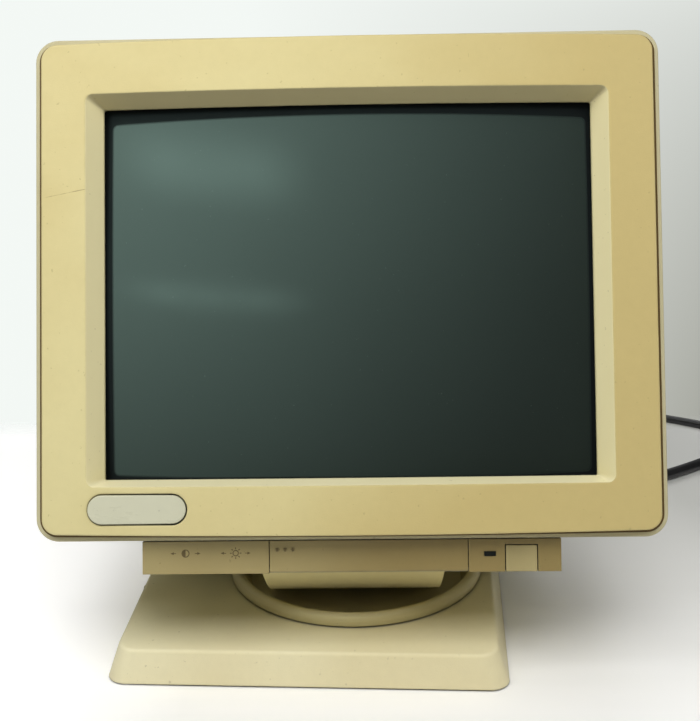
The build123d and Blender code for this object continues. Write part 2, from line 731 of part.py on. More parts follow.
def opening_band(grow):
    """Everything between the top and bottom slopes of the opening, which follow the crown."""
    start, side = -FACE_CROWN - 4, FACE_W / 2
    bow = side**2 / (2 * crown_r)
    halves = []
    for sign, edge, width in ((1, lip_top, BEVEL_TOP), (-1, lip_bottom, BEVEL_BOTTOM)):
        slope = width / LIP_DEPTH
        middle = sign * (edge + width + grow + 4 * slope)
        end = middle + sign * slope * bow
        outline = (
            Line((-side, -sign * edge / 2), (-side, end))
            + ThreePointArc((-side, end), (0, middle), (side, end))
            + Line((side, end), (side, -sign * edge / 2))
            + Line((side, -sign * edge / 2), (-side, -sign * edge / 2))
        )
        away = (0, 1, -sign * slope)
        halves.append(extrude(facing(start) * make_face(outline), amount=FACE_CROWN + 60, dir=away))
    return joined(halves)


def opening(grow, y1):
    return opening_frame(grow, y1) & opening_band(grow)


def lip_prism(grow, inset):
    """A straight tunnel behind the lip, from the given depth behind the crowned front."""
    outline = frame_section(glass_limit, lip_half_w + grow, -lip_bottom - grow, lip_top + grow, LIP_R + grow)
    return extrude(outline, amount=glass_limit + FACE_CROWN, dir=(0, -1, 0)) & crown(inset)


def glass_ball(inset):
    """The ball whose skin is the front of the screen, moved back by inset."""
    return Pos(0, GLASS_FRONT + GLASS_R, TUBE_Z) * Sphere(GLASS_R - inset)


def ear_places():
    for sx in (-1, 1):
        for sz in (-1, 1):
            yield sx * ear_x, TUBE_Z + sz * ear_z


def build_bezel():
    deep = FACE_BACK + FACE_CROWN + 2
    ahead = (0, -1, 0)
    outer = extrude(face_outline(0, FACE_BACK), amount=deep, dir=ahead) & crown(0)
    inner = extrude(face_outline(SHELL_WALL, FACE_BACK + 1), amount=deep, dir=ahead)
    bezel = outer - (inner & crown(SHELL_WALL))
    # the sloping wall round the screen and its collar behind the lip
    slope_wall = opening(0.8 * SHELL_WALL, glass_limit) & crown(0)
    collar = lip_prism(LIP_STEP + 0.6 * SHELL_WALL, LIP_DEPTH - 2)
    bezel = bezel + slope_wall + collar
    bezel = bezel - opening(0, lip_y + 1) - lip_prism(LIP_STEP, LIP_DEPTH) - glass_ball(-LIP_GAP)
    # posts that carry the tube by its ears
    for x, z in ear_places():
        bezel = bezel + rod_y(x, z, POST_BEZEL_R, 0.5, BAND_DEPTH)
        bezel = bezel - rod_y(x, z, tube_screw_r, FACE_BACK, BAND_DEPTH + 1)
    # pads that centre the plate in the rim of the cover
    reach = RIM_MARGIN - SHELL_WALL
    half, side, top = PAD_W / 2, FACE_W / 2, FACE_H / 2
    for x in (-side / 2, 0, side / 2):
        bezel = bezel + block(x - half, x + half, PAD_FRONT, FACE_BACK, top - 2, top + reach)
        bezel = bezel + block(x - half, x + half, PAD_FRONT, FACE_BACK, -top - reach, -top + 2)
    for z in (-top / 2, top / 2):
        bezel = bezel + block(-side - reach, -side + 2, PAD_FRONT, FACE_BACK, z - half, z + half)
        bezel = bezel + block(side - 2, side + reach, PAD_FRONT, FACE_BACK, z - half, z + half)
    badge_x, badge_z = BADGE_INSET - FACE_W / 2, BADGE_RISE - FACE_H / 2
    pocket_floor = facing(badge_x**2 / (2 * crown_r) - FACE_CROWN + BADGE_RECESS, badge_x, badge_z)
    pocket = pocket_floor * pill(BADGE_W + 2 * BADGE_GAP, BADGE_H + 2 * BADGE_GAP)
    keep("front_bezel", bezel - extrude(pocket, amount=FACE_CROWN), HEAD)
    plate = extrude(pocket_floor * pill(BADGE_W, BADGE_H), amount=BADGE_THICK)
    keep("badge_plate", fillet(plate.faces().sort_by(Axis.Y)[0].edges(), 0.5), HEAD)


# ================================================================ rear cover
def cover_loft(inset, y0, y1):
    """The stepped-down body of the cover, its skin moved in by inset, from depth y0 to y1."""
    half_w, half_h = FACE_W / 2 + RIM_MARGIN, FACE_H / 2 + RIM_MARGIN
    stations = [
        (y0, half_w, -half_h, half_h, RIM_CORNER_R),
        (SHOULDER_DEPTH, half_w, -half_h, half_h, RIM_CORNER_R),
        (WAIST_DEPTH, WAIST_HALF_W, -WAIST_BOTTOM, WAIST_TOP, REAR_CORNER_R),
        (y1, REAR_HALF_W, -REAR_BOTTOM, REAR_TOP, REAR_CORNER_R),
    ]
    sections = [
        frame_section(y, w - inset, z0 + inset, z1 - inset, radius - inset / 2)
        for y, w, z0, z1, radius in stations
    ]
    return loft(sections, ruled=True)


def chin_tray(inset, front):
    """The tray below the cover, ending at the sloped underside."""
    back, lap = WAIST_DEPTH - 4, REAR_CORNER_R
    outline = [
        (front, UNDERSIDE + inset),
        (CHIN_FLAT_END, UNDERSIDE + inset),
        (back, inset - WAIST_BOTTOM),
        (back, inset + lap - WAIST_BOTTOM),
        (front, inset + lap - WAIST_BOTTOM),
    ]
    return side_prism(outline, -CHIN_HALF_W + inset, CHIN_HALF_W - inset)


def vents(y0, y1, z0, z1, half_span):
    """A row of parallel upright slots."""
    for x in spread(int(2 * half_span / VENT_PITCH) + 1, VENT_PITCH):
        yield block(x - VENT_W / 2, x + VENT_W / 2, y0, y1, z0, z1)


def side_vents(y, z0, z1, half_span):
    """A row of slots through both sides."""
    for dy in spread(int(2 * half_span / VENT_PITCH) + 1, VENT_PITCH):
        yield block(-FAR, FAR, y + dy - VENT_W / 2, y + dy + VENT_W / 2, z0, z1)


def rim_groove():
    """The thin moulded groove round the cover."""
    half_w, half_h = FACE_W / 2 + RIM_MARGIN, FACE_H / 2 + RIM_MARGIN
    back = GROOVE_BACK + GROOVE_W
    rings = []
    for inset in (-1.0, GROOVE_DEPTH):
        outline = frame_section(back, half_w - inset, inset - half_h, half_h - inset, RIM_CORNER_R - inset)
        rings.append(extrude(outline, amount=GROOVE_W, dir=(0, -1, 0)))
    under_cover = block(-CHIN_HALF_W, CHIN_HALF_W, 0, back + 1, -FAR, GROOVE_DEPTH - half_h + 1)
    return rings[0] - rings[1] - under_cover


def build_cover(saddle_places):
    tray_front = CHIN_FACE + PANEL_THICK
    cover = cover_loft(0, RIM_SETBACK, COVER_DEPTH) + chin_tray(0, tray_front)
    room = cover_loft(SHELL_WALL, RIM_SETBACK - 1, COVER_DEPTH - SHELL_WALL)
    room = room + chin_tray(SHELL_WALL, tray_front - 1)
    cover = cover - room - rim_groove()
    # louvres in the top, the sides and the back of the rear box
    for i in range(2):
        y0 = WAIST_DEPTH + TOP_VENT_START + i * (TOP_VENT_LENGTH + TOP_VENT_GAP)
        cover = cover - list(vents(y0, y0 + TOP_VENT_LENGTH, REAR_TOP / 2, FAR, TOP_VENT_SPAN))
    y = COVER_DEPTH - SIDE_VENT_FROM_BACK
    cover = cover - list(side_vents(y, -SIDE_VENT_LOW, SIDE_VENT_HIGH, SIDE_VENT_SPAN))
    y = COVER_DEPTH - 2 * SHELL_WALL
    cover = cover - list(vents(y, FAR, BACK_VENT_LOW, BACK_VENT_HIGH, BACK_VENT_SPAN))
    # openings for the inlet, the captive cable, the wheels and the button
    inlet = facing(COVER_DEPTH + 1, INLET_X, EXIT_Z) * Rectangle(INLET_W, INLET_H)
    cover = cover - extrude(inlet, amount=SHELL_WALL + 2)
    cover = cover - rod_y(OUTLET_X, EXIT_Z, grip_r, COVER_DEPTH - 5, COVER_DEPTH + 1)
    for x in (contrast_x, brightness_x):
        y0, y1 = wheel_front - 1, wheel_front + WHEEL_THICK + 1
        cover = cover - block(x - WHEEL_R, x + WHEEL_R, y0, y1, UNDERSIDE - 1, CHIN_FLOOR + 1)
    button_half = BUTTON_W / 2 + BUTTON_GAP
    cover = cover - block(
        button_x - button_half,
        button_x + button_half,
        tray_front - 1,
        CHIN_FACE + BUTTON_DEPTH + BUTTON_TRAVEL + 1,
        UNDERSIDE - 1,
        CHIN_FLOOR + 1,
    )
    for x, y in saddle_places:
        cover = cover - rod_z(x, y, SADDLE_SCREW_R + SCREW_GAP, UNDERSIDE - 1, CHIN_FLOOR + 1)
    # rear screws in counterbores, each with a clip nut behind the wall
    wall_y = COVER_DEPTH - SHELL_WALL
    screw_x = REAR_HALF_W - COVER_SCREW_INSET
    screws, nuts = [], []
    for x in (-screw_x, screw_x):
        for z in (-REAR_BOTTOM + COVER_SCREW_RISE, REAR_TOP - COVER_SCREW_RISE):
            cover = cover - rod_y(x, z, 2.2 * COVER_SCREW_R, COVER_DEPTH - 1.5, COVER_DEPTH + 1)
            cover = cover - rod_y(x, z, COVER_SCREW_R + SCREW_GAP, wall_y - 1, COVER_DEPTH + 1)
            shank = rod_y(x, z, COVER_SCREW_R, wall_y - 2 * NUT_THICK, COVER_DEPTH - 1)
            screws.append(shank + rod_y(x, z, 1.8 * COVER_SCREW_R, COVER_DEPTH - 1.5, COVER_DEPTH))
            nut = block(x - NUT_HALF, x + NUT_HALF, wall_y - NUT_THICK, wall_y, z - NUT_HALF, z + NUT_HALF)
            nuts.append(nut - rod_y(x, z, COVER_SCREW_R, wall_y - NUT_THICK - 1, wall_y + 1))
    seat = facing(COVER_DEPTH - PLATE_THICK, 0, PLATE_Z) * RectangleRounded(PLATE_W, PLATE_H, 2.0)
    plate = extrude(seat, amount=PLATE_THICK, dir=(0, 1, 0))
    keep("rear_cover", cover - extrude(seat, amount=FAR, dir=(0, 1, 0)), HEAD)
    keep("cover_screws", group(screws), HEAD)
    keep("clip_nuts", group(nuts), HEAD)
    keep("rating_plate", plate, HEAD)


# ================================================================ control strip
strip_back = CHIN_FACE + PANEL_THICK
button_x = CHIN_HALF_W - BUTTON_INSET
led_x = button_x - LED_FROM_BUTTON
door_right = led_x - DOOR_FROM_LED
door_left = door_right - DOOR_W
contrast_x = CONTRAST_INSET - CHIN_HALF_W
brightness_x = contrast_x + WHEEL_PITCH
led_z = UNDERSIDE + LED_RISE
button_top = UNDERSIDE + BUTTON_H
button_z = UNDERSIDE + BUTTON_H / 2
hinge_y = CHIN_FACE + DOOR_THICK / 2
hinge_z = UNDERSIDE + DOOR_THICK / 2 + DOOR_GAP
pocket_back = strip_back + POCKET_DEPTH
pot_front = pocket_back + 0.3
board_front = pot_front + POT_DEPTH
wheel_front = CHIN_FACE + WHEEL_BACK
wheel_z = UNDERSIDE - WHEEL_SHOW + WHEEL_R
trim_z = (UNDERSIDE + CHIN_TOP) / 2
trim_places = [((door_left + door_right) / 2 + dx, trim_z) for dx in spread(TRIM_COUNT, TRIM_PITCH)]
button_back = CHIN_FACE + BUTTON_DEPTH
switch_front = button_back + BUTTON_TRAVEL + 7.0
switch_back = switch_front + SWITCH_LENGTH
grip_r = 0.75 * SIGNAL_D


def led_window(y0, y1):
    return block(led_x - LED_W / 2, led_x + LED_W / 2, y0, y1, led_z - LED_H / 2, led_z + LED_H / 2)


def build_controls():
    strip = block(-CHIN_HALF_W, CHIN_HALF_W, CHIN_FACE, strip_back, UNDERSIDE, CHIN_TOP)
    pocket_z0, pocket_z1 = CHIN_FLOOR + 0.2, CHIN_TOP - 0.4
    skin = 0.75 * POCKET_WALL
    strip = strip + block(
        door_left - POCKET_WALL, door_right + POCKET_WALL, strip_back - 1, pocket_back, pocket_z0, pocket_z1
    )
    strip = strip - block(
        door_left, door_right, CHIN_FACE - 1, CHIN_FACE + DOOR_THICK + 0.4, UNDERSIDE - 1, CHIN_TOP + 1
    )
    strip = strip - block(
        door_left, door_right, CHIN_FACE, pocket_back - POCKET_WALL, pocket_z0 + skin, pocket_z1 - skin
    )
    strip = strip - block(door_left, door_right, CHIN_FACE, strip_back + 1, UNDERSIDE - 1, pocket_z0 + skin)
    reach = DOOR_PIN_REACH + 0.3
    strip = strip - rod_x(hinge_y, hinge_z, DOOR_PIN_R + RUN_GAP, door_left - reach, door_right + reach)
    notch = BUTTON_W / 2 + BUTTON_GAP
    x0, x1 = button_x - notch, button_x + notch
    strip = strip - block(x0, x1, CHIN_FACE - 1, strip_back + 1, UNDERSIDE - 1, button_top + BUTTON_GAP)
    strip = strip - led_window(CHIN_FACE - 1, strip_back + 1)
    for x, z in trim_places:
        strip = strip - rod_y(x, z, SHAFT_R + 0.3, strip_back, pocket_back + 1)
    # tongues that lie on the floor of the chin
    for x in (contrast_x - WHEEL_R - 4, (brightness_x + WHEEL_R + door_left) / 2, led_x - LED_W):
        strip = strip + block(x - 2, x + 2, strip_back - 1, strip_back + 5, CHIN_FLOOR, CHIN_FLOOR + 2)
    keep("control_strip", strip, HEAD)

    x0, x1 = door_left + DOOR_GAP, door_right - DOOR_GAP
    door = block(x0, x1, CHIN_FACE, CHIN_FACE + DOOR_THICK, hinge_z, CHIN_TOP)
    door = door + rod_x(hinge_y, hinge_z, DOOR_THICK / 2, x0, x1)
    door = door + rod_x(hinge_y, hinge_z, DOOR_PIN_R, door_left - DOOR_PIN_REACH, door_right + DOOR_PIN_REACH)
    dot_z = CHIN_TOP - DOT_DROP
    for dx in spread(3, DOT_PITCH):
        x, w, h = door_left + DOT_INSET + dx, DOT_W / 2, DOT_H / 2
        door = door + block(x - w, x + w, CHIN_FACE - DOT_RAISE, CHIN_FACE + 1, dot_z - h, dot_z + h)
    keep("control_door", door, HEAD)

    led_front = board_front - 4 * LED_R
    pipe = rod_y(led_x, led_z, 0.8 * LED_R, strip_back - 1, led_front)
    keep("indicator_window", led_window(CHIN_FACE - 0.4, strip_back) + pipe, HEAD)
    keep("indicator_lamp", rod_y(led_x, led_z, LED_R, led_front, board_front), HEAD)


def build_knobs():
    shaft_end = board_front - 1
    for name, x in (("contrast_wheel", contrast_x), ("brightness_wheel", brightness_x)):
        wheel = rod_y(x, wheel_z, WHEEL_R, wheel_front, wheel_front + WHEEL_THICK)
        notches = []
        for i in range(WHEEL_NOTCHES):
            angle = 2 * math.pi * i / WHEEL_NOTCHES
            nx, nz = x + WHEEL_R * math.cos(angle), wheel_z + WHEEL_R * math.sin(angle)
            notches.append(rod_y(nx, nz, 0.5, wheel_front - 1, wheel_front + WHEEL_THICK + 1))
        wheel = wheel - notches
        wheel = wheel + rod_y(x, wheel_z, 2 * SHAFT_R, wheel_front + WHEEL_THICK - 1, pot_front - 0.3)
        keep(name, wheel + rod_y(x, wheel_z, SHAFT_R, pot_front - 1, shaft_end), HEAD)
    knob_back = pocket_back - POCKET_WALL - 0.3
    knob_front = knob_back - TRIM_LENGTH
    for i, (x, z) in enumerate(trim_places):
        knob = rod_y(x, z, TRIM_R, knob_front, knob_back)
        knob = knob - block(x - TRIM_R, x + TRIM_R, knob_front - 1, knob_front + 1, z - 0.5, z + 0.5)
        knob = knob + rod_y(x, z, SHAFT_R, knob_back - 1, shaft_end)
        keep(f"trim_knob_{i + 1}", knob, HEAD)
    pots = []
    for x, z in [(contrast_x, wheel_z), (brightness_x, wheel_z)] + trim_places:
        body = block(x - POT_HALF, x + POT_HALF, pot_front, board_front, z - POT_HALF, z + POT_HALF)
        pots.append(body - rod_y(x, z, SHAFT_R + RUN_GAP, pot_front - 1, shaft_end + PLAY))
    keep("potentiometers", group(pots), HEAD)
    board = block(
        contrast_x - WHEEL_R, led_x + LED_W, board_front, board_front + BOARD_THICK, CHIN_FLOOR, CHIN_TOP + 1
    )
    keep("control_board", board, HEAD)


def build_button():
    half = BUTTON_W / 2
    cap = block(button_x - half, button_x + half, CHIN_FACE, button_back, UNDERSIDE, button_top)
    cap = cap - rod_z(button_x, CHIN_FACE - BUTTON_SCOOP_R + BUTTON_SCOOP, BUTTON_SCOOP_R, -FAR, FAR)
    cap = cap + rod_y(button_x, button_z, STEM_R, button_back - 1, switch_front + SWITCH_REACH)
    keep("power_button", cap, HEAD)
    body = block(
        button_x - SWITCH_HALF,
        button_x + SWITCH_HALF,
        switch_front,
        switch_back,
        CHIN_FLOOR,
        button_z + SWITCH_HALF,
    )
    bore_end = switch_front + SWITCH_REACH + BUTTON_TRAVEL + 0.5
    body = body - rod_y(button_x, button_z, STEM_R + RUN_GAP, switch_front - 1, bore_end)
    keep("power_switch", body, HEAD)


# ================================================================ picture tube
def tube_prism(grow, y0, y1):
    """The outline of the tube face, grown by the given amount, from depth y0 to y1."""
    half_w, half_h = TUBE_W / 2 + grow, TUBE_H / 2 + grow
    outline = frame_section(y1, half_w, TUBE_Z - half_h, TUBE_Z + half_h, TUBE_CORNER_R + grow)
    return extrude(outline, amount=y1 - y0)


def funnel_loft(inset, y0, y1):
    """The four-sided part of the funnel, its skin moved in by inset."""
    flare, middle = PANEL_END + 0.15 * FUNNEL_LENGTH, PANEL_END + 0.57 * FUNNEL_LENGTH
    stations = [
        (y0, TUBE_W / 2, TUBE_H / 2, TUBE_CORNER_R),
        (flare, 0.965 * TUBE_W / 2, 0.96 * TUBE_H / 2, TUBE_CORNER_R + 4),
        (middle, 0.70 * TUBE_W / 2, 0.70 * TUBE_H / 2, TUBE_CORNER_R + 10),
        (y1, 0.95 * CONE_R, 0.95 * CONE_R, 0.8 * CONE_R),
    ]
    sections = [
        frame_section(y, w - inset, TUBE_Z - h + inset, TUBE_Z + h - inset, radius - inset / 2)
        for y, w, h, radius in stations
    ]
    return loft(sections, ruled=True)


def cone(inset, neck_inset, y0, y1):
    """The round end of the funnel and the neck."""
    outline = [
        (0, y0),
        (CONE_R - inset, y0),
        (CONE_R - inset, CONE_FRONT),
        (0.72 * CONE_R - inset, CONE_FRONT + 0.4 * CONE_LENGTH),
        (0.42 * CONE_R - inset, CONE_BACK),
        (NECK_R - neck_inset, CONE_BACK + 20),
        (NECK_R - neck_inset, y1),
        (0, y1),
    ]
    return spun_y(outline, 0, TUBE_Z)


def build_tube():
    panel = tube_prism(0, -FACE_CROWN, PANEL_END) & glass_ball(0)
    hollow = tube_prism(-SKIRT_GLASS, -FACE_CROWN, PANEL_END + 1) & glass_ball(PANEL_GLASS)
    keep("tube_faceplate", panel - hollow, HEAD)

    funnel = funnel_loft(0, PANEL_END, CONE_FRONT) + cone(0, 0, CONE_FRONT - 6, NECK_END)
    inner = funnel_loft(FUNNEL_GLASS, PANEL_END - 1, CONE_FRONT + 1)
    inner = inner + cone(1.5 * FUNNEL_GLASS, NECK_GLASS, CONE_FRONT - 8, NECK_END - NECK_GLASS)
    keep("tube_funnel", funnel - inner, HEAD)

    ear_thick = 2 * BAND_THICK
    band = tube_prism(BAND_THICK, BAND_DEPTH, BAND_DEPTH + BAND_WIDTH)
    for x, z in ear_places():
        sx, sz = math.copysign(1, x), math.copysign(1, z)
        x0, x1 = sorted((x - sx * EAR_LAP, x + sx * EAR_HALF))
        z0, z1 = sorted((z - sz * EAR_LAP, z + sz * EAR_HALF))
        band = band + block(x0, x1, BAND_DEPTH, BAND_DEPTH + ear_thick, z0, z1)
    band = band - tube_prism(0, 0, PANEL_END)
    screws = []
    for x, z in ear_places():
        band = band - rod_y(x, z, tube_screw_r + SCREW_GAP, BAND_DEPTH - 1, BAND_DEPTH + ear_thick + 1)
        shank = rod_y(x, z, tube_screw_r, BAND_DEPTH - 16, BAND_DEPTH + ear_thick)
        head = rod_y(x, z, 2.4 * tube_screw_r, BAND_DEPTH + ear_thick, BAND_DEPTH + 2 * ear_thick)
        screws.append(shank + head)
    keep("implosion_band", band, HEAD)
    keep("tube_screws", group(screws), HEAD)

    y0 = BAND_DEPTH + BAND_WIDTH + DEGAUSS_GAP
    y1 = y0 + 2 * DEGAUSS_R
    ring = tube_prism(DEGAUSS_GAP + 2 * DEGAUSS_R, y0, y1)
    keep("degaussing_coil", ring - tube_prism(DEGAUSS_GAP, y0 - 1, y1 + 1), HEAD)


def build_neck():
    yoke_front = CONE_FRONT + 5
    clamp_y = CONE_BACK + 22
    collar_r = NECK_R + YOKE_COLLAR
    outline = [
        (CONE_R + YOKE_CLEAR, yoke_front),
        (CONE_R + YOKE_FLANGE, yoke_front),
        (CONE_R + YOKE_FLANGE, yoke_front + 7),
        (CONE_R + 2, yoke_front + 0.5 * CONE_LENGTH),
        (0.8 * CONE_R, CONE_BACK + 8),
        (collar_r, clamp_y),
        (collar_r, clamp_y + 6),
        (NECK_R, clamp_y + 6),
        (NECK_R, clamp_y - 1.5),
        (0.42 * CONE_R + YOKE_CLEAR, CONE_BACK),
        (0.72 * CONE_R + YOKE_CLEAR + 1, CONE_FRONT + 0.4 * CONE_LENGTH),
    ]
    keep("deflection_yoke", spun_y(outline, 0, TUBE_Z), HEAD)
    rings = []
    for i in range(RING_COUNT):
        y0 = clamp_y + 10 + RING_PITCH * i
        y1, outer_r = y0 + RING_THICK, NECK_R + RING_SPAN
        rings.append(spun_y([(NECK_R, y0), (outer_r, y0), (outer_r, y1), (NECK_R, y1)], 0, TUBE_Z))
    keep("convergence_rings", group(rings), HEAD)
    y0 = NECK_END - NECK_BOARD_BACK
    y1 = y0 + BOARD_THICK
    board = block(
        -NECK_BOARD_HALF, NECK_BOARD_HALF, y0, y1, TUBE_Z - NECK_BOARD_HALF, TUBE_Z + NECK_BOARD_UP
    )
    keep("neck_board", board - rod_y(0, TUBE_Z, NECK_R + 2, y0 - 1, y1 + 1), HEAD)
    socket = rod_y(0, TUBE_Z, NECK_R + SOCKET_WALL, y1, NECK_END + 4)
    keep("tube_socket", socket - rod_y(0, TUBE_Z, NECK_R, y0, NECK_END), HEAD)


# ================================================================ chassis and boards
chassis_top = CHIN_FLOOR + CHASSIS_THICK
board_z = chassis_top + BOARD_LIFT
board_top = board_z + BOARD_THICK
board_half_w = CHIN_HALF_W - SHELL_WALL - BOARD_INSET
floor_slope = (-WAIST_BOTTOM - UNDERSIDE) / (WAIST_DEPTH - CHIN_FLAT_END)
board_back = CHIN_FLAT_END + (board_z - BOARD_CLEAR - CHIN_FLOOR) / floor_slope
chassis_front = max(switch_back, board_front + BOARD_THICK) + CHASSIS_GAP
chassis_back = CHIN_FLAT_END - 3
row_back = board_back - ROW_GAP
row_front = row_back - ROW_DEPTH


def build_chassis(saddle_places):
    half = board_half_w + 4
    tray = block(-half, half, chassis_front, chassis_back, CHIN_FLOOR, chassis_top)
    for x in (-half, half - CHASSIS_THICK):
        tray = tray + block(x, x + CHASSIS_THICK, chassis_front, chassis_back, CHIN_FLOOR, board_z)
    for x, y in saddle_places:
        tray = tray - rod_z(x, y, SADDLE_SCREW_R, CHIN_FLOOR - 1, chassis_top + 1)
    keep("chassis", tray, HEAD)
    posts = [
        rod_z(x, y, STANDOFF_R, chassis_top, board_z)
        for x in (STANDOFF_INSET - board_half_w, 0, board_half_w - STANDOFF_INSET)
        for y in (chassis_front + STANDOFF_INSET, chassis_back - STANDOFF_INSET)
    ]
    keep("stand_offs", group(posts), HEAD)
    keep("main_board", block(-board_half_w, board_half_w, BOARD_FRONT, board_back, board_z, board_top), HEAD)

    x0 = CORE_INSET - board_half_w
    x1 = x0 + CORE_W
    core = block(x0, x1, row_front, row_back, board_top, board_top + CORE_H)
    windings = block(
        x0 + WINDING_IN,
        x1 - WINDING_IN,
        row_front - WINDING_OUT,
        row_front,
        board_top + 0.2 * CORE_H,
        board_top + 0.8 * CORE_H,
    )
    keep("mains_transformer", core + windings, HEAD)
    x, y = board_half_w - FLYBACK_INSET, row_back - 1.3 * FLYBACK_R
    flyback = rod_z(x, y, FLYBACK_R, board_top, board_top + FLYBACK_H)
    half, top = FLYBACK_R - 1, board_top + 0.9 * FLYBACK_H
    flyback = flyback + block(x - half, x + half, y + 0.5 * FLYBACK_R, row_back, board_top, top)
    keep("line_output_transformer", flyback, HEAD)
    sinks = []
    for x in spread(2, SINK_PITCH):
        half = SINK_THICK / 2
        sink = block(x - half, x + half, row_front, row_back, board_top, board_top + SINK_H)
        for dy in spread(FIN_COUNT, FIN_PITCH):
            y = (row_front + row_back) / 2 + dy
            sink = sink + block(
                x - FIN_SPAN / 2,
                x + FIN_SPAN / 2,
                y - FIN_THICK / 2,
                y + FIN_THICK / 2,
                board_top + 0.25 * SINK_H,
                board_top + SINK_H,
            )
        sinks.append(sink)
    keep("heat_sinks", group(sinks), HEAD)
    cans = [
        rod_z(x, (row_front + row_back) / 2, CAN_R - 0.5 * i, board_top, board_top + CAN_H - 3 * i)
        for i, x in enumerate(spread(CAN_COUNT, CAN_PITCH))
    ]
    keep("capacitors", group(cans), HEAD)


# ================================================================ mains inlet and cords
def inlet_pins(grow, y0, y1):
    """The three flat blades of the inlet, or the slots for them when grown."""
    w, t = PIN_W / 2 + grow, PIN_THICK / 2 + grow
    low = EXIT_Z - 1.5
    for dx, z in ((-PIN_SPREAD, low), (PIN_SPREAD, low), (0, low + PIN_STEP)):
        x = INLET_X + dx
        yield block(x - t, x + t, y0, y1, z - w, z + w)


def inlet_block(half_w, half_h, y0, y1):
    return block(INLET_X - half_w, INLET_X + half_w, y0, y1, EXIT_Z - half_h, EXIT_Z + half_h)


def build_inlet():
    """The mains inlet with its connector; returns the point where the connector's boot ends."""
    half_w, half_h = INLET_W / 2, INLET_H / 2
    y_in, y_out = COVER_DEPTH - INLET_DEEP, COVER_DEPTH + INLET_FLANGE
    room_w, room_h = half_w - INLET_WALL, half_h - INLET_WALL
    floor = y_in + 2 * INLET_WALL
    body = inlet_block(half_w, half_h, y_in, y_out)
    body = body + inlet_block(half_w + INLET_FLANGE_SIDE, half_h + INLET_FLANGE_END, COVER_DEPTH, y_out)
    body = body - inlet_block(room_w, room_h, floor, y_out + 1)
    keep("mains_inlet", joined([body] + list(inlet_pins(0, floor - 1, COVER_DEPTH - 2))), HEAD)
    nose = inlet_block(room_w - NOSE_GAP, room_h - NOSE_GAP, floor + 0.5, y_out + 1)
    nose = nose - list(inlet_pins(NOSE_GAP, floor - 1, COVER_DEPTH - 1.5))
    y_end = y_out + CONNECTOR_LENGTH
    grip = loft(
        [
            frame_section(y_out + 0.3, room_w + 1, EXIT_Z - room_h - 1, EXIT_Z + room_h + 1, 2.0),
            frame_section(y_end, 0.62 * room_w, EXIT_Z - 0.75 * room_h, EXIT_Z + 0.75 * room_h, 2.0),
        ],
        ruled=True,
    )
    boot = rod_y(INLET_X, EXIT_Z, 0.8 * MAINS_D, y_end - 1, y_end + BOOT_LENGTH)
    keep("mains_connector", nose + Pos(INLET_X, 0, 0) * grip + boot, HEAD)
    return y_end + BOOT_LENGTH


def build_relief():
    """The moulded strain relief of the captive cable; returns the depth where it ends."""
    y_end = COVER_DEPTH + RELIEF_LENGTH
    flange_r = 1.1 * SIGNAL_D
    grip = rod_y(OUTLET_X, EXIT_Z, grip_r, COVER_DEPTH - 5, COVER_DEPTH + 1)
    grip = grip + rod_y(OUTLET_X, EXIT_Z, flange_r, COVER_DEPTH - SHELL_WALL - 4, COVER_DEPTH - SHELL_WALL)
    boot = [
        (0, COVER_DEPTH),
        (flange_r, COVER_DEPTH),
        (flange_r, COVER_DEPTH + 3),
        (0.85 * SIGNAL_D, COVER_DEPTH + 4),
        (0.7 * SIGNAL_D, y_end),
        (0, y_end),
    ]
    keep("signal_relief", grip + spun_y(boot, OUTLET_X, EXIT_Z), HEAD)
    return y_end


def route_radii(points):
    """The bend radius at each inner point: as large as its two runs allow."""
    radii = []
    for before, here, after in zip(points, points[1:], points[2:]):
        a, b = Vector(*here) - Vector(*before), Vector(*after) - Vector(*here)
        half_turn = math.radians(a.get_angle(b)) / 2
        radii.append(0.45 * min(a.length, b.length) / math.tan(half_turn))
    return radii


def cord_tube(name, x, y, route, diameter):
    """A cord that leaves the head at (x, y) of its frame and follows its route over the table."""
    lie = diameter / 2 + LIE
    points = [head_point(x, y, EXIT_Z), head_point(x, y + LEAD, EXIT_Z)]
    points = points + [(px, py, pz + lie) for px, py, pz in route]
    path = FilletPolyline(*points, radius=route_radii(points))
    start = Plane(origin=path @ 0, z_dir=path % 0)
    keep(name, sweep(start * Circle(diameter / 2), path=path))


def cord_coil(name, centre, radius, wide, diameter):
    """The put-away turns of a cord as one ring."""
    x, y = centre
    high = LIE + COIL_HIGH * diameter
    half = wide * diameter / 2
    keep(name, rod_z(x, y, radius + half, LIE, high) - rod_z(x, y, radius - half, LIE - 1, high + 1))


def build_cords(mains_y, signal_y):
    cord_tube("mains_cord", INLET_X, mains_y, MAINS_ROUTE, MAINS_D)
    cord_coil("mains_cord_coil", MAINS_COIL, MAINS_COIL_R, MAINS_COIL_WIDE, MAINS_D)
    cord_tube("signal_cable", OUTLET_X, signal_y, SIGNAL_ROUTE, SIGNAL_D)
    cord_coil("signal_cable_coil", SIGNAL_COIL, SIGNAL_COIL_R, SIGNAL_COIL_WIDE, SIGNAL_D)
    # the tails leave the right side of their coils, one towards the back and one towards the front
    x, y = MAINS_COIL[0] + MAINS_COIL_R + (MAINS_COIL_WIDE - 1) * MAINS_D / 2, MAINS_COIL[1]
    keep("mains_tail", rod_y(x, MAINS_D / 2 + LIE, MAINS_D / 2, y, y + TAIL_LENGTH))
    build_mains_plug(x, y + TAIL_LENGTH)
    x, y = SIGNAL_COIL[0] + SIGNAL_COIL_R + (SIGNAL_COIL_WIDE - 1) * SIGNAL_D / 2, SIGNAL_COIL[1]
    keep("signal_tail", rod_y(x, SIGNAL_D / 2 + LIE, SIGNAL_D / 2, y - TAIL_LENGTH, y))
    build_signal_plug(x, y - TAIL_LENGTH)


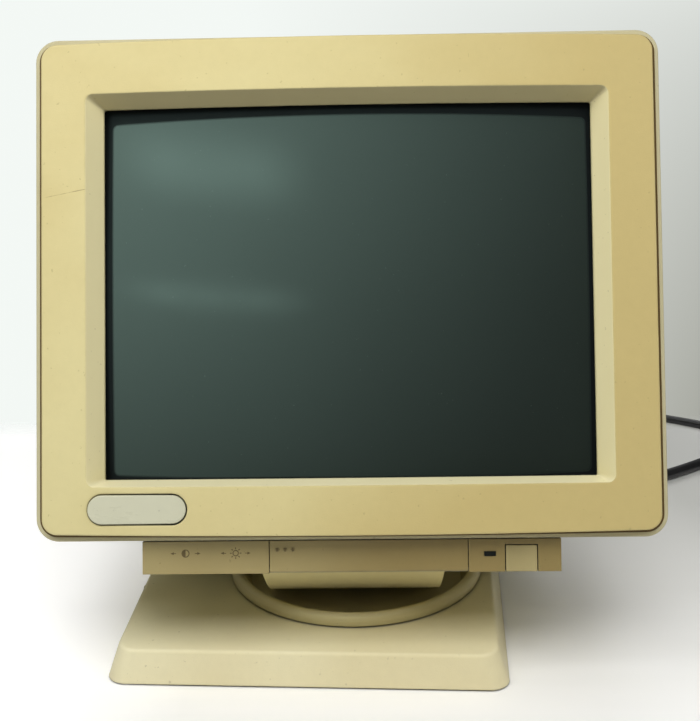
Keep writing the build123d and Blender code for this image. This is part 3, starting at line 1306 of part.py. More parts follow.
def build_mains_plug(x, y):
    """A moulded plug with two flat blades and a round earth pin, lying on its side."""
    boot_r = MAINS_D / 2 + PLUG_SLEEVE
    y0 = y + PLUG_BOOT - PLUG_LAP
    y1 = y0 + PLUG_LENGTH
    body = block(x - PLUG_HALF_W, x + PLUG_HALF_W, y0, y1, PLUG_LIE, PLUG_TOP)
    body = fillet(body.edges().filter_by(Axis.Y), PLUG_EDGE_R)
    plug = rod_y(x, boot_r + PLUG_LIE, boot_r, y, y + PLUG_BOOT) + body
    for bx in (x - BLADE_SPREAD, x + BLADE_SPREAD):
        half = BLADE_THICK / 2
        plug = plug + block(bx - half, bx + half, y1 - 4, y1 + BLADE_OUT, BLADE_LOW, BLADE_TOP)
    keep("mains_plug", plug + rod_y(x, EARTH_RISE, EARTH_R, y1 - 4, y1 + EARTH_OUT))


def build_signal_plug(x, y):
    """A D-shaped 15-way plug with its two thumbscrews."""
    boot_r = SIGNAL_D / 2 + PLUG_SLEEVE
    y0 = y - DSUB_BOOT + PLUG_LAP
    y1 = y0 - DSUB_LENGTH
    mid_z = (PLUG_LIE + DSUB_TOP) / 2 - 0.3
    body = block(x - DSUB_HALF_W, x + DSUB_HALF_W, y1, y0, PLUG_LIE, DSUB_TOP)
    plug = rod_y(x, boot_r + PLUG_LIE, boot_r, y - DSUB_BOOT, y)
    plug = plug + fillet(body.edges().filter_by(Axis.Z), DSUB_EDGE_R)
    plug = plug + block(
        x - DSUB_FLANGE_HALF_W,
        x + DSUB_FLANGE_HALF_W,
        y1 - 1,
        y1 + 1,
        PLUG_LIE + DSUB_FLANGE_EDGE,
        DSUB_TOP - DSUB_FLANGE_EDGE,
    )
    for inset, y_front, y_back in ((0, y1 - DSUB_SHELL_OUT, y1), (DSUB_SHELL_WALL, y1 - FAR, y1 - 2)):
        w, h = DSUB_SHELL_HALF_W - inset, DSUB_SHELL_HALF_H - inset
        shell = block(x - w, x + w, y_front, y_back, mid_z - h, mid_z + h)
        plug = plug - shell if inset else plug + shell
    for row, dz in enumerate(spread(3, DSUB_ROW_PITCH)):
        for dx in spread(5, DSUB_PIN_PITCH):
            px = x + dx + (row % 2 - 0.5) * DSUB_PIN_PITCH / 2
            plug = plug + rod_y(px, mid_z + dz, DSUB_PIN_R, y1 - DSUB_SHELL_OUT + 0.5, y1 - 1.5)
    screws = []
    for sx in (x - THUMB_SPREAD, x + THUMB_SPREAD):
        plug = plug - rod_y(sx, mid_z, THUMB_R + 0.1, y1 - 2, y0 + 1)
        screw = rod_y(sx, mid_z, THUMB_R, y1 - THUMB_OUT, y0)
        screws.append(screw + rod_y(sx, mid_z, THUMB_HEAD_R, y0, y0 + THUMB_HEAD_LENGTH))
    keep("signal_plug", plug)
    keep("plug_screws", group(screws))


build_base()
build_turntable()
build_clamp()
saddle_places = build_saddle()
build_bezel()
build_cover(saddle_places)
build_controls()
build_knobs()
build_button()
build_tube()
build_neck()
build_chassis(saddle_places)
build_cords(build_inlet(), build_relief())

os.makedirs("parts", exist_ok=True)
for name, shape in PARTS.items():
    shape.label = name
    export_step(shape, f"parts/{name}.step")
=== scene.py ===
"""A beige 15 inch tube monitor on its tilt-and-swivel pedestal, with its two cords, on a pale table."""
import math

import bpy
from mathutils import Matrix, Vector


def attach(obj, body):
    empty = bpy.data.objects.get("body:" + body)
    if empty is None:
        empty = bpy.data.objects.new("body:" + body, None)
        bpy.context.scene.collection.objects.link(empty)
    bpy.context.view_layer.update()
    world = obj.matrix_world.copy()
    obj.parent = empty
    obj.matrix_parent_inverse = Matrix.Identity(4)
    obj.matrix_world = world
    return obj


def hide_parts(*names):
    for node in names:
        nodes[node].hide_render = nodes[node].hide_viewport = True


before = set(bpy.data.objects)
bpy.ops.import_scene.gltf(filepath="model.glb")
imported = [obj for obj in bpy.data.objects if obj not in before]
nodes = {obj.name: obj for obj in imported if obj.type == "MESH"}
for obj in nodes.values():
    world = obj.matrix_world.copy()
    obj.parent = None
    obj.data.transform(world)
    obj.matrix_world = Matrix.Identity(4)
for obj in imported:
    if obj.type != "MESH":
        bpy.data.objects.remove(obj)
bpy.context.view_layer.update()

MM = 0.001
RIGHT = Vector((1, 0, 0))
UP = Vector((0, 0, 1))
DOWN = Vector((0, 0, -1))

# ================================================================ the head's own frame, as in the CAD (mm)
HEAD_TILT = math.radians(20.0)
TILT_AXIS_Z = 118.0
AXIS_DEPTH = 112.0
AXIS_DROP = 87.0
HEAD = (
    Matrix.Translation((0, 0, TILT_AXIS_Z))
    @ Matrix.Rotation(-HEAD_TILT, 4, "X")
    @ Matrix.Translation((0, -AXIS_DEPTH, AXIS_DROP))
)
HEAD_FRONT = HEAD.to_3x3() @ Vector((0, -1, 0))
HEAD_UP = HEAD.to_3x3() @ UP


def head_point(x, depth, z):
    """A point of the head's frame as a point of the row frame, both in mm."""
    return HEAD @ Vector((x, depth, z))


# ================================================================ shader building
BEVEL_SAMPLES = 4
CREVICE_SAMPLES = 6
EDGE_TURN = 1 / 6                            # how far the bevelled normal turns on a full edge
NOISE_SPAN = (0.3, 0.7)                      # where nearly all of a noise's values lie
STROKE_NOISE = 160.0                         # lets a drawn stroke waver
STROKE_WANDER = 2.0                          # by this many of its widths
STROKE_FADE = (0.6, 1.8)                     # where it fades out, in widths


class Tree:
    """One node tree, with its coordinates and the short-hands that every tree needs."""

    def __init__(self, tree, coordinates):
        self.tree = tree
        self.place = self.node("ShaderNodeTexCoord").outputs[coordinates]

    def node(self, kind, **settings):
        """A new node with these settings."""
        made = self.tree.nodes.new(kind)
        for key, value in settings.items():
            setattr(made, key, value)
        return made

    def join(self, source, target):
        """Link an output to an input."""
        self.tree.links.new(source, target)

    def put(self, socket, value):
        """Feed a socket from another socket, or set its value."""
        if isinstance(value, bpy.types.NodeSocket):
            self.join(value, socket)
        else:
            socket.default_value = value

    def math(self, operation, a, b=0.0):
        """One sum, from sockets or numbers."""
        made = self.node("ShaderNodeMath", operation=operation)
        self.put(made.inputs[0], a)
        self.put(made.inputs[1], b)
        return made.outputs[0]

    def times(self, first, *others):
        """The product of several values."""
        for other in others:
            first = self.math("MULTIPLY", first, other)
        return first

    def ramp(self, value, low, high, out_low=0.0, out_high=1.0, kind="LINEAR"):
        """Remap low..high of a value to out_low..out_high, held at both ends."""
        made = self.node("ShaderNodeMapRange", interpolation_type=kind)
        self.put(made.inputs["Value"], value)
        numbers = {"From Min": low, "From Max": high, "To Min": out_low, "To Max": out_high}
        for key, number in numbers.items():
            made.inputs[key].default_value = number
        return made.outputs["Result"]

    def mix(self, share, a, b, blend="MIX", clamp=True):
        """Colour a where the share is 0, and b blended in where it is 1."""
        made = self.node("ShaderNodeMix", data_type="RGBA", blend_type=blend, clamp_factor=clamp)
        self.put(made.inputs["Factor"], share)
        colours = [socket for socket in made.inputs if socket.type == "RGBA"]
        for socket, value in zip(colours, (a, b)):
            self.put(socket, value if isinstance(value, bpy.types.NodeSocket) else (*value, 1.0))
        return [socket for socket in made.outputs if socket.type == "RGBA"][0]

    def between(self, share, a, b):
        """Number a where the share is 0, and b where it is 1."""
        made = self.node("ShaderNodeMix")
        for key, value in (("Factor", share), ("A", a), ("B", b)):
            self.put(made.inputs[key], value)
        return made.outputs["Result"]

    def dot(self, vector, direction):
        """How far a vector reaches in a fixed direction."""
        made = self.node("ShaderNodeVectorMath", operation="DOT_PRODUCT")
        self.join(vector, made.inputs[0])
        made.inputs[1].default_value = direction
        return made.outputs["Value"]

    def axes(self):
        """The x, y and z of the coordinates, by name."""
        made = self.node("ShaderNodeSeparateXYZ")
        self.join(self.place, made.inputs[0])
        return made.outputs


class Graph(Tree):
    """One material: a Principled shader, object coordinates, and short-hands for patterns."""

    def __init__(self, name, roughness=0.5, metallic=0.0, coat=0.0, specular=0.5):
        self.material = bpy.data.materials.new(name)
        self.material.use_nodes = True
        super().__init__(self.material.node_tree, "Object")
        self.shader = self.tree.nodes["Principled BSDF"]
        self.to("Roughness", roughness)
        self.to("Metallic", metallic)
        self.to("Coat Weight", coat)
        self.to("Specular IOR Level", specular)

    def to(self, name, value):
        """Feed or set one input of the shader."""
        self.put(self.shader.inputs[name], value)

    def noise(self, scale, detail, roughness=0.55, stretch=None):
        """Soft noise of 0 to 1, finer along an axis where its stretch is larger."""
        made = self.node("ShaderNodeTexNoise")
        source = self.place
        if stretch:
            mapping = self.node("ShaderNodeMapping")
            mapping.inputs["Scale"].default_value = stretch
            self.join(source, mapping.inputs["Vector"])
            source = mapping.outputs["Vector"]
        self.join(source, made.inputs["Vector"])
        for key, number in (("Scale", scale), ("Detail", detail), ("Roughness", roughness)):
            made.inputs[key].default_value = number
        return made.outputs["Fac"]

    def clouds(self, scale, detail, span=NOISE_SPAN, out=(0.0, 1.0), **more):
        """A noise whose span is remapped to out: blotches with a wide span, specks with a narrow one."""
        return self.ramp(self.noise(scale, detail, **more), *span, *out)

    def cells(self, scale):
        """Distance to the nearest of many scattered points."""
        made = self.node("ShaderNodeTexVoronoi", feature="SMOOTH_F1")
        self.join(self.place, made.inputs["Vector"])
        made.inputs["Scale"].default_value = scale
        return made.outputs["Distance"]

    def bevel(self, radius):
        """The surface's normal, rounded over hard edges."""
        made = self.node("ShaderNodeBevel", samples=BEVEL_SAMPLES)
        made.inputs["Radius"].default_value = radius
        return made.outputs["Normal"]

    def edges(self, radius):
        """1 along the object's hard edges, 0 on its flats."""
        near = self.node("ShaderNodeVectorMath", operation="DOT_PRODUCT")
        self.join(self.bevel(radius), near.inputs[0])
        self.join(self.node("ShaderNodeNewGeometry").outputs["Normal"], near.inputs[1])
        return self.ramp(near.outputs["Value"], 1.0 - EDGE_TURN, 1.0, 1.0, 0.0)

    def crevices(self, distance, low=0.35, high=0.9):
        """1 in corners and gaps, 0 in the open."""
        made = self.node("ShaderNodeAmbientOcclusion", samples=CREVICE_SAMPLES)
        made.inputs["Distance"].default_value = distance
        return self.ramp(made.outputs["AO"], low, high, 1.0, 0.0)

    def grey(self, value):
        """A single value as a colour."""
        made = self.node("ShaderNodeCombineColor")
        for key in ("Red", "Green", "Blue"):
            self.join(value, made.inputs[key])
        return made.outputs["Color"]

    def away(self, origin):
        """The way from a point to here, in metres."""
        made = self.node("ShaderNodeVectorMath", operation="SUBTRACT")
        self.join(self.place, made.inputs[0])
        made.inputs[1].default_value = origin
        return made.outputs["Vector"]

    def along(self, origin, direction):
        """Distance from a point along a direction, in metres."""
        return self.dot(self.away(origin), direction)

    def facing(self, direction):
        """How far the surface faces a direction, -1 to 1."""
        return self.dot(self.node("ShaderNodeTexCoord").outputs["Normal"], direction)

    def off_line(self, start, end):
        """Distance from the straight line between two points, in metres."""
        length = (end - start).length
        direction = (end - start) / length
        reach = self.ramp(self.along(start, direction), 0.0, length, 0.0, length)
        foot = self.node("ShaderNodeVectorMath", operation="SCALE")
        foot.inputs[0].default_value = direction
        self.join(reach, foot.inputs["Scale"])
        gap = self.node("ShaderNodeVectorMath", operation="DISTANCE")
        self.join(self.away(start), gap.inputs[0])
        self.join(foot.outputs["Vector"], gap.inputs[1])
        return gap.outputs["Value"]

    def stroke(self, start, end, width):
        """1 along a thin, slightly wandering line between two points, 0 elsewhere."""
        wander = self.clouds(STROKE_NOISE, detail=2.0, out=(0.0, STROKE_WANDER * width))
        off = self.math("ADD", self.off_line(start, end), wander)
        return self.ramp(off, *[width * fade for fade in STROKE_FADE], 1.0, 0.0)

    def bump(self, height, strength, distance, normal=None):
        """A normal raised and sunk by a height."""
        made = self.node("ShaderNodeBump")
        made.inputs["Strength"].default_value = strength
        made.inputs["Distance"].default_value = distance
        self.join(height, made.inputs["Height"])
        if normal is not None:
            self.join(normal, made.inputs["Normal"])
        return made.outputs["Normal"]


def linear(value):
    """One sRGB channel of 0 to 255 as a linear value."""
    value = value / 255
    return value / 12.92 if value <= 0.04045 else ((value + 0.055) / 1.055) ** 2.4


def srgb(red, green, blue):
    """An sRGB colour of 0 to 255 as linear values."""
    return (linear(red), linear(green), linear(blue))


def scaled(colour, factor):
    """A darker or paler colour of the same hue."""
    return [min(1.0, factor * channel) for channel in colour]


# ================================================================ colours
BEIGE = srgb(207, 196, 145)
BEIGE_AGED = srgb(187, 169, 113)
# paler plastic for the slopes of the screen opening, partly painted light
SLOPE_BEIGE_LIT = srgb(228, 218, 171)
SHELL_BEIGE = srgb(190, 183, 150)
SHELL_AGED = srgb(176, 166, 128)
BASE_BEIGE = srgb(233, 226, 190)
BASE_AGED = srgb(207, 192, 146)
RING_BEIGE = srgb(204, 193, 146)
RING_AGED = srgb(188, 175, 124)
# the control strip's beige, darkened to paint the shade it lies in under the bezel
CONTROL_BEIGE_SHADED = srgb(166, 153, 108)
CONTROL_AGED_SHADED = srgb(132, 115, 70)
BUTTON_BEIGE = srgb(164, 152, 108)
BUTTON_AGED = srgb(152, 138, 95)
FOOT_BEIGE = srgb(214, 203, 152)
FOOT_AGED = srgb(196, 182, 128)
BADGE_BEIGE = srgb(196, 195, 172)
BADGE_AGED = srgb(182, 179, 152)
KNOB_GREY = srgb(120, 118, 108)
KNOB_AGED = srgb(104, 101, 90)
NYLON_WHITE = srgb(228, 226, 212)
NYLON_AGED = srgb(216, 212, 192)
INK = srgb(84, 70, 38)
# the painted shadow line in the seam round the bezel plate
SEAM_SHADOW_BROWN = srgb(72, 52, 8)
# pale dust, also painting the light on what faces up
DUST_AND_LIGHT = srgb(232, 227, 196)
PHOSPHOR_DARK = srgb(29, 34, 31)
PHOSPHOR_PALE = srgb(34, 41, 38)
SCREEN_DUST = srgb(120, 130, 124)
SCREEN_BORDER = srgb(10, 10, 13)
GLASS_TINT = (0.68, 1.0, 0.9, 1.0)           # of what the faceplate reflects
ZINC = srgb(176, 178, 180)
BAND_STEEL = srgb(140, 141, 142)
ALUMINIUM = srgb(200, 201, 204)
COPPER_DARK = srgb(150, 74, 34)
COPPER_PALE = srgb(196, 116, 62)
BOARD_BROWN = srgb(134, 98, 52)
BOARD_DARK = srgb(118, 84, 42)
BOARD_TRACK = srgb(160, 126, 70)
BLACK_ABS = (0.012, 0.012, 0.013)
BLACK_VARNISH = (0.02, 0.018, 0.02)
BLACK_LENS = (0.006, 0.007, 0.006)
TIE_BLACK = (0.02, 0.02, 0.02)
PVC_BLACK = (0.008, 0.008, 0.009)
PVC_BLOOM = (0.035, 0.034, 0.032)
RUBBER_BLACK = (0.02, 0.02, 0.02)
RUBBER_WORN = (0.06, 0.058, 0.055)
FUNNEL_BLACK = (0.012, 0.012, 0.013)
FUNNEL_GREY = (0.05, 0.05, 0.052)


# ================================================================ plastics
# the slopes of the screen opening, given paler plastic with painted light, and painted shade where one
# faces down; each pair where it fades in and out
FACE_TURN = (0.9, 0.97)                      # how squarely a surface faces the front
OPENING_SIDE = (159.0 * MM, 162.0 * MM)      # from the middle sideways
OPENING_TOP = (120.0 * MM, 122.0 * MM)       # from the middle up or down the bezel
SLOPE_UNDER = (0.0, 0.4)                     # how far a slope faces down
SLOPE_UNDER_SHARE = 0.6
SLOPE_UNDER_SHADE = 0.45

# wear, dust, and painted light and shade: how much of the plastic's colour each kind covers, and how dark
# or pale its own colour is
PATCH_SHARE = 0.6
RIGHT_SHADE_FROM = -120.0 * MM                       # painted shade, in the aged tone, grows from here to the right
RIGHT_SHADE_TO = 185.0 * MM
# painted shade in corners
CORNER_SHADE_REACH = 4.0 * MM
CORNER_SHADE_SHARE = 0.35
CORNER_SHADE_TONE = 0.4
# painted shade: a dark line in seams and gaps
SEAM_REACH = 1.5 * MM
SEAM_OPEN = (0.5, 0.8)
SEAM_SHARE = 0.9
SEAM_SHADE = 0.12
DUST_AND_LIGHT_SLOPE = (0.5, 0.9)                      # how far a surface faces up
DUST_AND_LIGHT_SHARE = 0.4
# rubbed edges, paler also to paint the highlight where light catches them
RUBBED_AND_LIT_SHARE = (0.1, 0.5)
RUBBED_AND_LIT_PALER = 1.2
SPECK_SHARE = 0.35
SPECK_SHADE = 0.55
MARK_SHARE = 0.75
SCUFF_STRETCH = (1.0, 1.0, 5.0)
SCUFF_SMOOTHER = 0.06                        # how far scuffs change the roughness
SCUFF_DULLER = 0.1
GRAIN_CELLS = 1500.0                         # the moulded grain: pebbles and a finer noise on them
GRAIN_NOISE = 2600.0
GRAIN_NOISE_SHARE = 0.6
GRAIN_STRENGTH = 0.16
GRAIN_DEPTH = 0.25 * MM

# single marks on the bezel, in the head's frame (mm): a hairline at the left edge, a knock and a smudge
HAIRLINE = ((-174.8, -0.2, 52.5), (-149.5, -2.0, 57.0))
KNOCK_TOP = ((-66.0, -6.6, 131.6), (-64.4, -6.6, 131.9))
SMUDGE_RIGHT = ((158.6, -1.6, -117.2), (160.0, -1.6, -119.6))
FRONT_MARKS = (                              # ends, width (mm) and colour
    (HAIRLINE, 0.22, srgb(120, 100, 60)),
    (KNOCK_TOP, 0.45, srgb(130, 110, 70)),
    (SMUDGE_RIGHT, 0.4, srgb(150, 132, 86)),
)


def opening_slopes(g):
    """1 on the sloping sides of the screen opening, 0 on the face round it and on the rim."""
    turned = g.ramp(g.facing(HEAD_FRONT), *FACE_TURN, 1.0, 0.0)
    across = g.math("ABSOLUTE", g.along((0, 0, 0), RIGHT))
    upright = g.math("ABSOLUTE", g.along(head_point(0, 0, 0) * MM, HEAD_UP))
    within = g.times(g.ramp(across, *OPENING_SIDE, 1.0, 0.0), g.ramp(upright, *OPENING_TOP, 1.0, 0.0))
    return g.times(turned, within)


def yellowed_and_shaded_right(g, colour, aged, shade_to_right):
    """Uneven yellowing in patches, painted shade in the aged tone growing to the right by the given amount,
    and a faint mottle.
    """
    patches = g.clouds(scale=4.0, detail=3.0, span=(0.38, 0.64), out=(0.0, PATCH_SHARE))
    # painted shade: the aged tone comes in towards the right
    side = g.ramp(g.along((0, 0, 0), RIGHT), RIGHT_SHADE_FROM, RIGHT_SHADE_TO, 0.0, shade_to_right)
    tint = g.mix(g.math("ADD", patches, side), colour, aged)
    mottle = g.clouds(scale=190.0, detail=5.0, out=(0.985, 1.015))
    return g.mix(1.0, tint, g.grey(mottle), "MULTIPLY")


def lit_and_shaded_slopes(g, tint, paler, aged):
    """The slopes of the opening: paler plastic that also paints the light on them, and painted shade where
    one faces down.
    """
    slopes = opening_slopes(g)
    tint = g.mix(slopes, tint, paler)
    under = g.ramp(g.facing(DOWN), *SLOPE_UNDER, 0.0, SLOPE_UNDER_SHARE)
    return g.mix(g.times(slopes, under), tint, scaled(aged, SLOPE_UNDER_SHADE))


def shaded_and_dusted(g, tint, aged):
    """Painted shade in corners, a painted dark line in seams and gaps, and dust with painted light on what
    faces up.
    """
    # painted shade in corners
    corner_shade = g.times(g.crevices(CORNER_SHADE_REACH), CORNER_SHADE_SHARE)
    tint = g.mix(corner_shade, tint, scaled(aged, CORNER_SHADE_TONE))
    # painted shade: a dark line in seams and gaps
    seam = g.times(g.crevices(SEAM_REACH, *SEAM_OPEN), SEAM_SHARE)
    tint = g.mix(seam, tint, scaled(aged, SEAM_SHADE))
    # dust with painted light on what faces up
    level = g.ramp(g.facing(UP), *DUST_AND_LIGHT_SLOPE, 0.0, DUST_AND_LIGHT_SHARE)
    dust_and_top_light = g.times(level, g.clouds(scale=9.0, detail=5.0, span=(0.35, 0.65), out=(1.0, 0.6)))
    return g.mix(dust_and_top_light, tint, DUST_AND_LIGHT)


def worn_and_edge_lit(g, tint, colour, aged, edge_radius):
    """Paler rubbed edges that also paint the highlight along them, and a few dark specks."""
    patchy = g.clouds(scale=60.0, detail=6.0, span=(0.42, 0.6), out=RUBBED_AND_LIT_SHARE)
    # paler edges: wear and a painted highlight
    tint = g.mix(g.times(g.edges(edge_radius), patchy), tint, scaled(colour, RUBBED_AND_LIT_PALER))
    specks = g.clouds(scale=420.0, detail=1.0, span=(0.74, 0.78), out=(0.0, SPECK_SHARE))
    return g.mix(specks, tint, scaled(aged, SPECK_SHADE))


def marked(g, tint, marks):
    """Single marks drawn on a piece of the head."""
    for (start, end), width, shade in marks:
        line = g.stroke(head_point(*start) * MM, head_point(*end) * MM, width * MM)
        tint = g.mix(g.times(line, MARK_SHARE), tint, shade)
    return tint


def moulded(name, colour, aged, edge, roughness, grain, marks=(), shade_to_right=0.0, slopes=None):
    """Textured plastic: a fine moulded grain, uneven yellowing, dark specks, rubbed edges and dust, with
    painted shade to the right, in corners and in gaps, and painted light on what faces up, along the edges
    and on paler slopes. Its edge radius is in mm.
    """
    g = Graph(name)
    edge_radius = edge * MM
    # uneven yellowing, and painted shade towards the right
    tint = yellowed_and_shaded_right(g, colour, aged, shade_to_right)
    # paler slopes with painted light, and painted shade where one faces down
    if slopes:
        tint = lit_and_shaded_slopes(g, tint, slopes, aged)
    # painted shade in corners and gaps, and dust with painted light on what faces up
    tint = shaded_and_dusted(g, tint, aged)
    tint = worn_and_edge_lit(g, tint, colour, aged, edge_radius)
    g.to("Base Color", marked(g, tint, marks))
    scuffs = g.noise(scale=38.0, detail=8.0, roughness=0.7, stretch=SCUFF_STRETCH)
    g.to("Roughness", g.ramp(scuffs, 0.35, 0.7, roughness - SCUFF_SMOOTHER, roughness + SCUFF_DULLER))
    fine = g.noise(GRAIN_NOISE, detail=2.0)
    texture = g.math("ADD", g.cells(GRAIN_CELLS), g.times(fine, GRAIN_NOISE_SHARE))
    g.to("Normal", g.bump(texture, GRAIN_STRENGTH * grain, GRAIN_DEPTH, g.bevel(edge_radius)))
    return g.material


# ================================================================ other materials
# the lit area of the tube, in the head's frame (mm)
PHOSPHOR_X = 0.9
PHOSPHOR_Z = -5.5
PHOSPHOR_HALF_W = 138.5
PHOSPHOR_HALF_H = 105.9
PHOSPHOR_CORNER = 3.0
PHOSPHOR_BOW = 3.0                           # its upper and lower edges drop away by this towards the sides
PHOSPHOR_FADE = (-0.8, 0.6)                  # where the black border fades in, from its edge
BORDER_DULLER = 0.4
GLASS_SHINE = 0.5
BORDER_SHINE = 0.14

# how far the roughness of black plastic and metal wanders from its middle
SMOOTHER = 0.08
DULLER = 0.12

DOT_CELLS = 2400.0                           # the phosphor's dots, and how dark and pale they are
DOT_DARK = 0.93
DOT_PALE = 1.05
BOARD_SCALE = 90.0
TURNS_SCALE = 420.0


def screen_border(g):
    """0 on the lit area, a bowed rectangle with round corners, and 1 on the black border round it."""
    middle = head_point(PHOSPHOR_X, 0, PHOSPHOR_Z) * MM
    corner = PHOSPHOR_CORNER * MM
    across = g.math("ABSOLUTE", g.along(middle, RIGHT))
    upright = g.math("ABSOLUTE", g.along(middle, HEAD_UP))
    squared = g.math("POWER", g.math("DIVIDE", across, PHOSPHOR_HALF_W * MM), 2.0)
    upright = g.math("ADD", upright, g.times(squared, PHOSPHOR_BOW * MM))
    outside = []
    for reach, half in ((across, PHOSPHOR_HALF_W), (upright, PHOSPHOR_HALF_H)):
        beyond = g.math("MAXIMUM", g.math("SUBTRACT", reach, half * MM - corner), 0.0)
        outside.append(g.math("POWER", beyond, 2.0))
    from_corner = g.math("SQRT", g.math("ADD", *outside))
    return g.ramp(from_corner, *[corner + fade * MM for fade in PHOSPHOR_FADE])


def screen_glass():
    """Dark tinted faceplate: grey-green phosphor inside a black border, behind a softly etched front."""
    g = Graph("screen_glass")
    g.to("Specular Tint", GLASS_TINT)
    border = screen_border(g)
    phosphor = g.mix(g.clouds(scale=3.0, detail=2.0, span=(0.35, 0.65)), PHOSPHOR_DARK, PHOSPHOR_PALE)
    dots = g.ramp(g.cells(DOT_CELLS), 0.0, 0.8, DOT_DARK, DOT_PALE)
    phosphor = g.mix(1.0, phosphor, g.grey(dots), "MULTIPLY")
    dust = g.clouds(scale=520.0, detail=1.0, span=(0.77, 0.82), out=(0.0, 0.12))
    phosphor = g.mix(dust, phosphor, SCREEN_DUST)
    g.to("Base Color", g.mix(border, phosphor, SCREEN_BORDER))
    smooth = g.clouds(scale=24.0, detail=6.0, out=(0.06, 0.11))
    g.to("Roughness", g.math("ADD", smooth, g.times(border, BORDER_DULLER)))
    g.to("Specular IOR Level", g.ramp(border, 0.0, 1.0, GLASS_SHINE, BORDER_SHINE))
    g.to("Normal", g.bump(g.noise(scale=3200.0, detail=1.0), strength=0.03, distance=0.05 * MM))
    return g.material


def ink_and_shadow_mark(name, colour):
    """Ink on plastic, and a painted shadow line, a little faded in places."""
    g = Graph(name, roughness=0.6)
    faded = g.clouds(scale=900.0, detail=4.0, span=(0.35, 0.65), out=(0.0, 0.5))
    g.to("Base Color", g.mix(faded, colour, scaled(colour, 1.8)))
    return g.material


def black_moulding(name, colour, roughness, specular=0.5):
    """Black plastic with paler blotches and a fine grain."""
    g = Graph(name, specular=specular)
    blotches = g.clouds(scale=90.0, detail=5.0, span=(0.35, 0.7))
    g.to("Base Color", g.mix(blotches, colour, scaled(colour, 2.2)))
    g.to("Roughness", g.clouds(scale=40.0, detail=5.0, out=(roughness - SMOOTHER, roughness + DULLER)))
    grain = g.noise(scale=2200.0, detail=2.0)
    g.to("Normal", g.bump(grain, strength=0.12, distance=0.1 * MM, normal=g.bevel(0.5 * MM)))
    return g.material


def cord_jacket():
    """Black PVC with a slight bloom and a little dust."""
    g = Graph("cord_jacket")
    bloom = g.clouds(scale=120.0, detail=6.0, span=(0.5, 0.75), out=(0.0, 0.5))
    g.to("Base Color", g.mix(bloom, PVC_BLACK, PVC_BLOOM))
    g.to("Roughness", g.clouds(scale=70.0, detail=4.0, out=(0.3, 0.5)))
    g.to("Normal", g.bump(g.noise(scale=900.0, detail=3.0), strength=0.1, distance=0.12 * MM))
    return g.material


def rubber():
    """Matt black rubber, greyer where it has rubbed."""
    g = Graph("rubber", roughness=0.8)
    g.to("Base Color", g.mix(g.clouds(scale=140.0, detail=5.0, span=(0.4, 0.7)), RUBBER_BLACK, RUBBER_WORN))
    g.to("Normal", g.bump(g.noise(scale=1800.0, detail=3.0), strength=0.3, distance=0.15 * MM))
    return g.material


def metal(name, colour, roughness):
    """Sheet or turned metal with fine streaks and duller patches."""
    g = Graph(name, metallic=1.0)
    streaks = g.noise(scale=700.0, detail=4.0, stretch=(1.0, 12.0, 1.0))
    dull = g.clouds(scale=60.0, detail=5.0, span=(0.35, 0.7))
    g.to("Base Color", g.mix(dull, colour, scaled(colour, 0.72)))
    g.to("Roughness", g.ramp(streaks, *NOISE_SPAN, roughness - SMOOTHER, roughness + DULLER))
    g.to("Normal", g.bump(streaks, strength=0.08, distance=0.05 * MM, normal=g.bevel(0.3 * MM)))
    return g.material


def funnel_coat():
    """Black conductive paint on the outside of the tube's funnel."""
    g = Graph("funnel_coat", roughness=0.7)
    g.to("Base Color", g.mix(g.clouds(scale=35.0, detail=6.0, span=(0.4, 0.65)), FUNNEL_BLACK, FUNNEL_GREY))
    g.to("Normal", g.bump(g.noise(scale=260.0, detail=5.0), strength=0.3, distance=0.3 * MM))
    return g.material


def copper_winding():
    """Enamelled copper turns."""
    g = Graph("copper_winding", roughness=0.35, metallic=0.8)
    wave = g.node("ShaderNodeTexWave", wave_type="BANDS", bands_direction="Y")
    g.join(g.place, wave.inputs["Vector"])
    wave.inputs["Scale"].default_value = TURNS_SCALE
    g.to("Base Color", g.mix(wave.outputs["Fac"], COPPER_DARK, COPPER_PALE))
    g.to("Normal", g.bump(wave.outputs["Fac"], strength=0.5, distance=0.3 * MM))
    return g.material


def circuit_board():
    """Brown board with a pattern of tracks under its lacquer."""
    g = Graph("circuit_board", roughness=0.45, coat=0.3)
    brick = g.node("ShaderNodeTexBrick")
    g.join(g.place, brick.inputs["Vector"])
    brick.inputs["Scale"].default_value = BOARD_SCALE
    for key, colour in (("Color1", BOARD_BROWN), ("Color2", BOARD_DARK), ("Mortar", BOARD_TRACK)):
        brick.inputs[key].default_value = (*colour, 1.0)
    g.to("Base Color", brick.outputs["Color"])
    g.to("Normal", g.bump(g.noise(scale=900.0, detail=3.0), strength=0.1, distance=0.1 * MM))
    return g.material


def dress(material, *names):
    """Give CAD nodes one material."""
    for name in names:
        mesh = nodes[name].data
        mesh.materials.clear()
        mesh.materials.append(material)


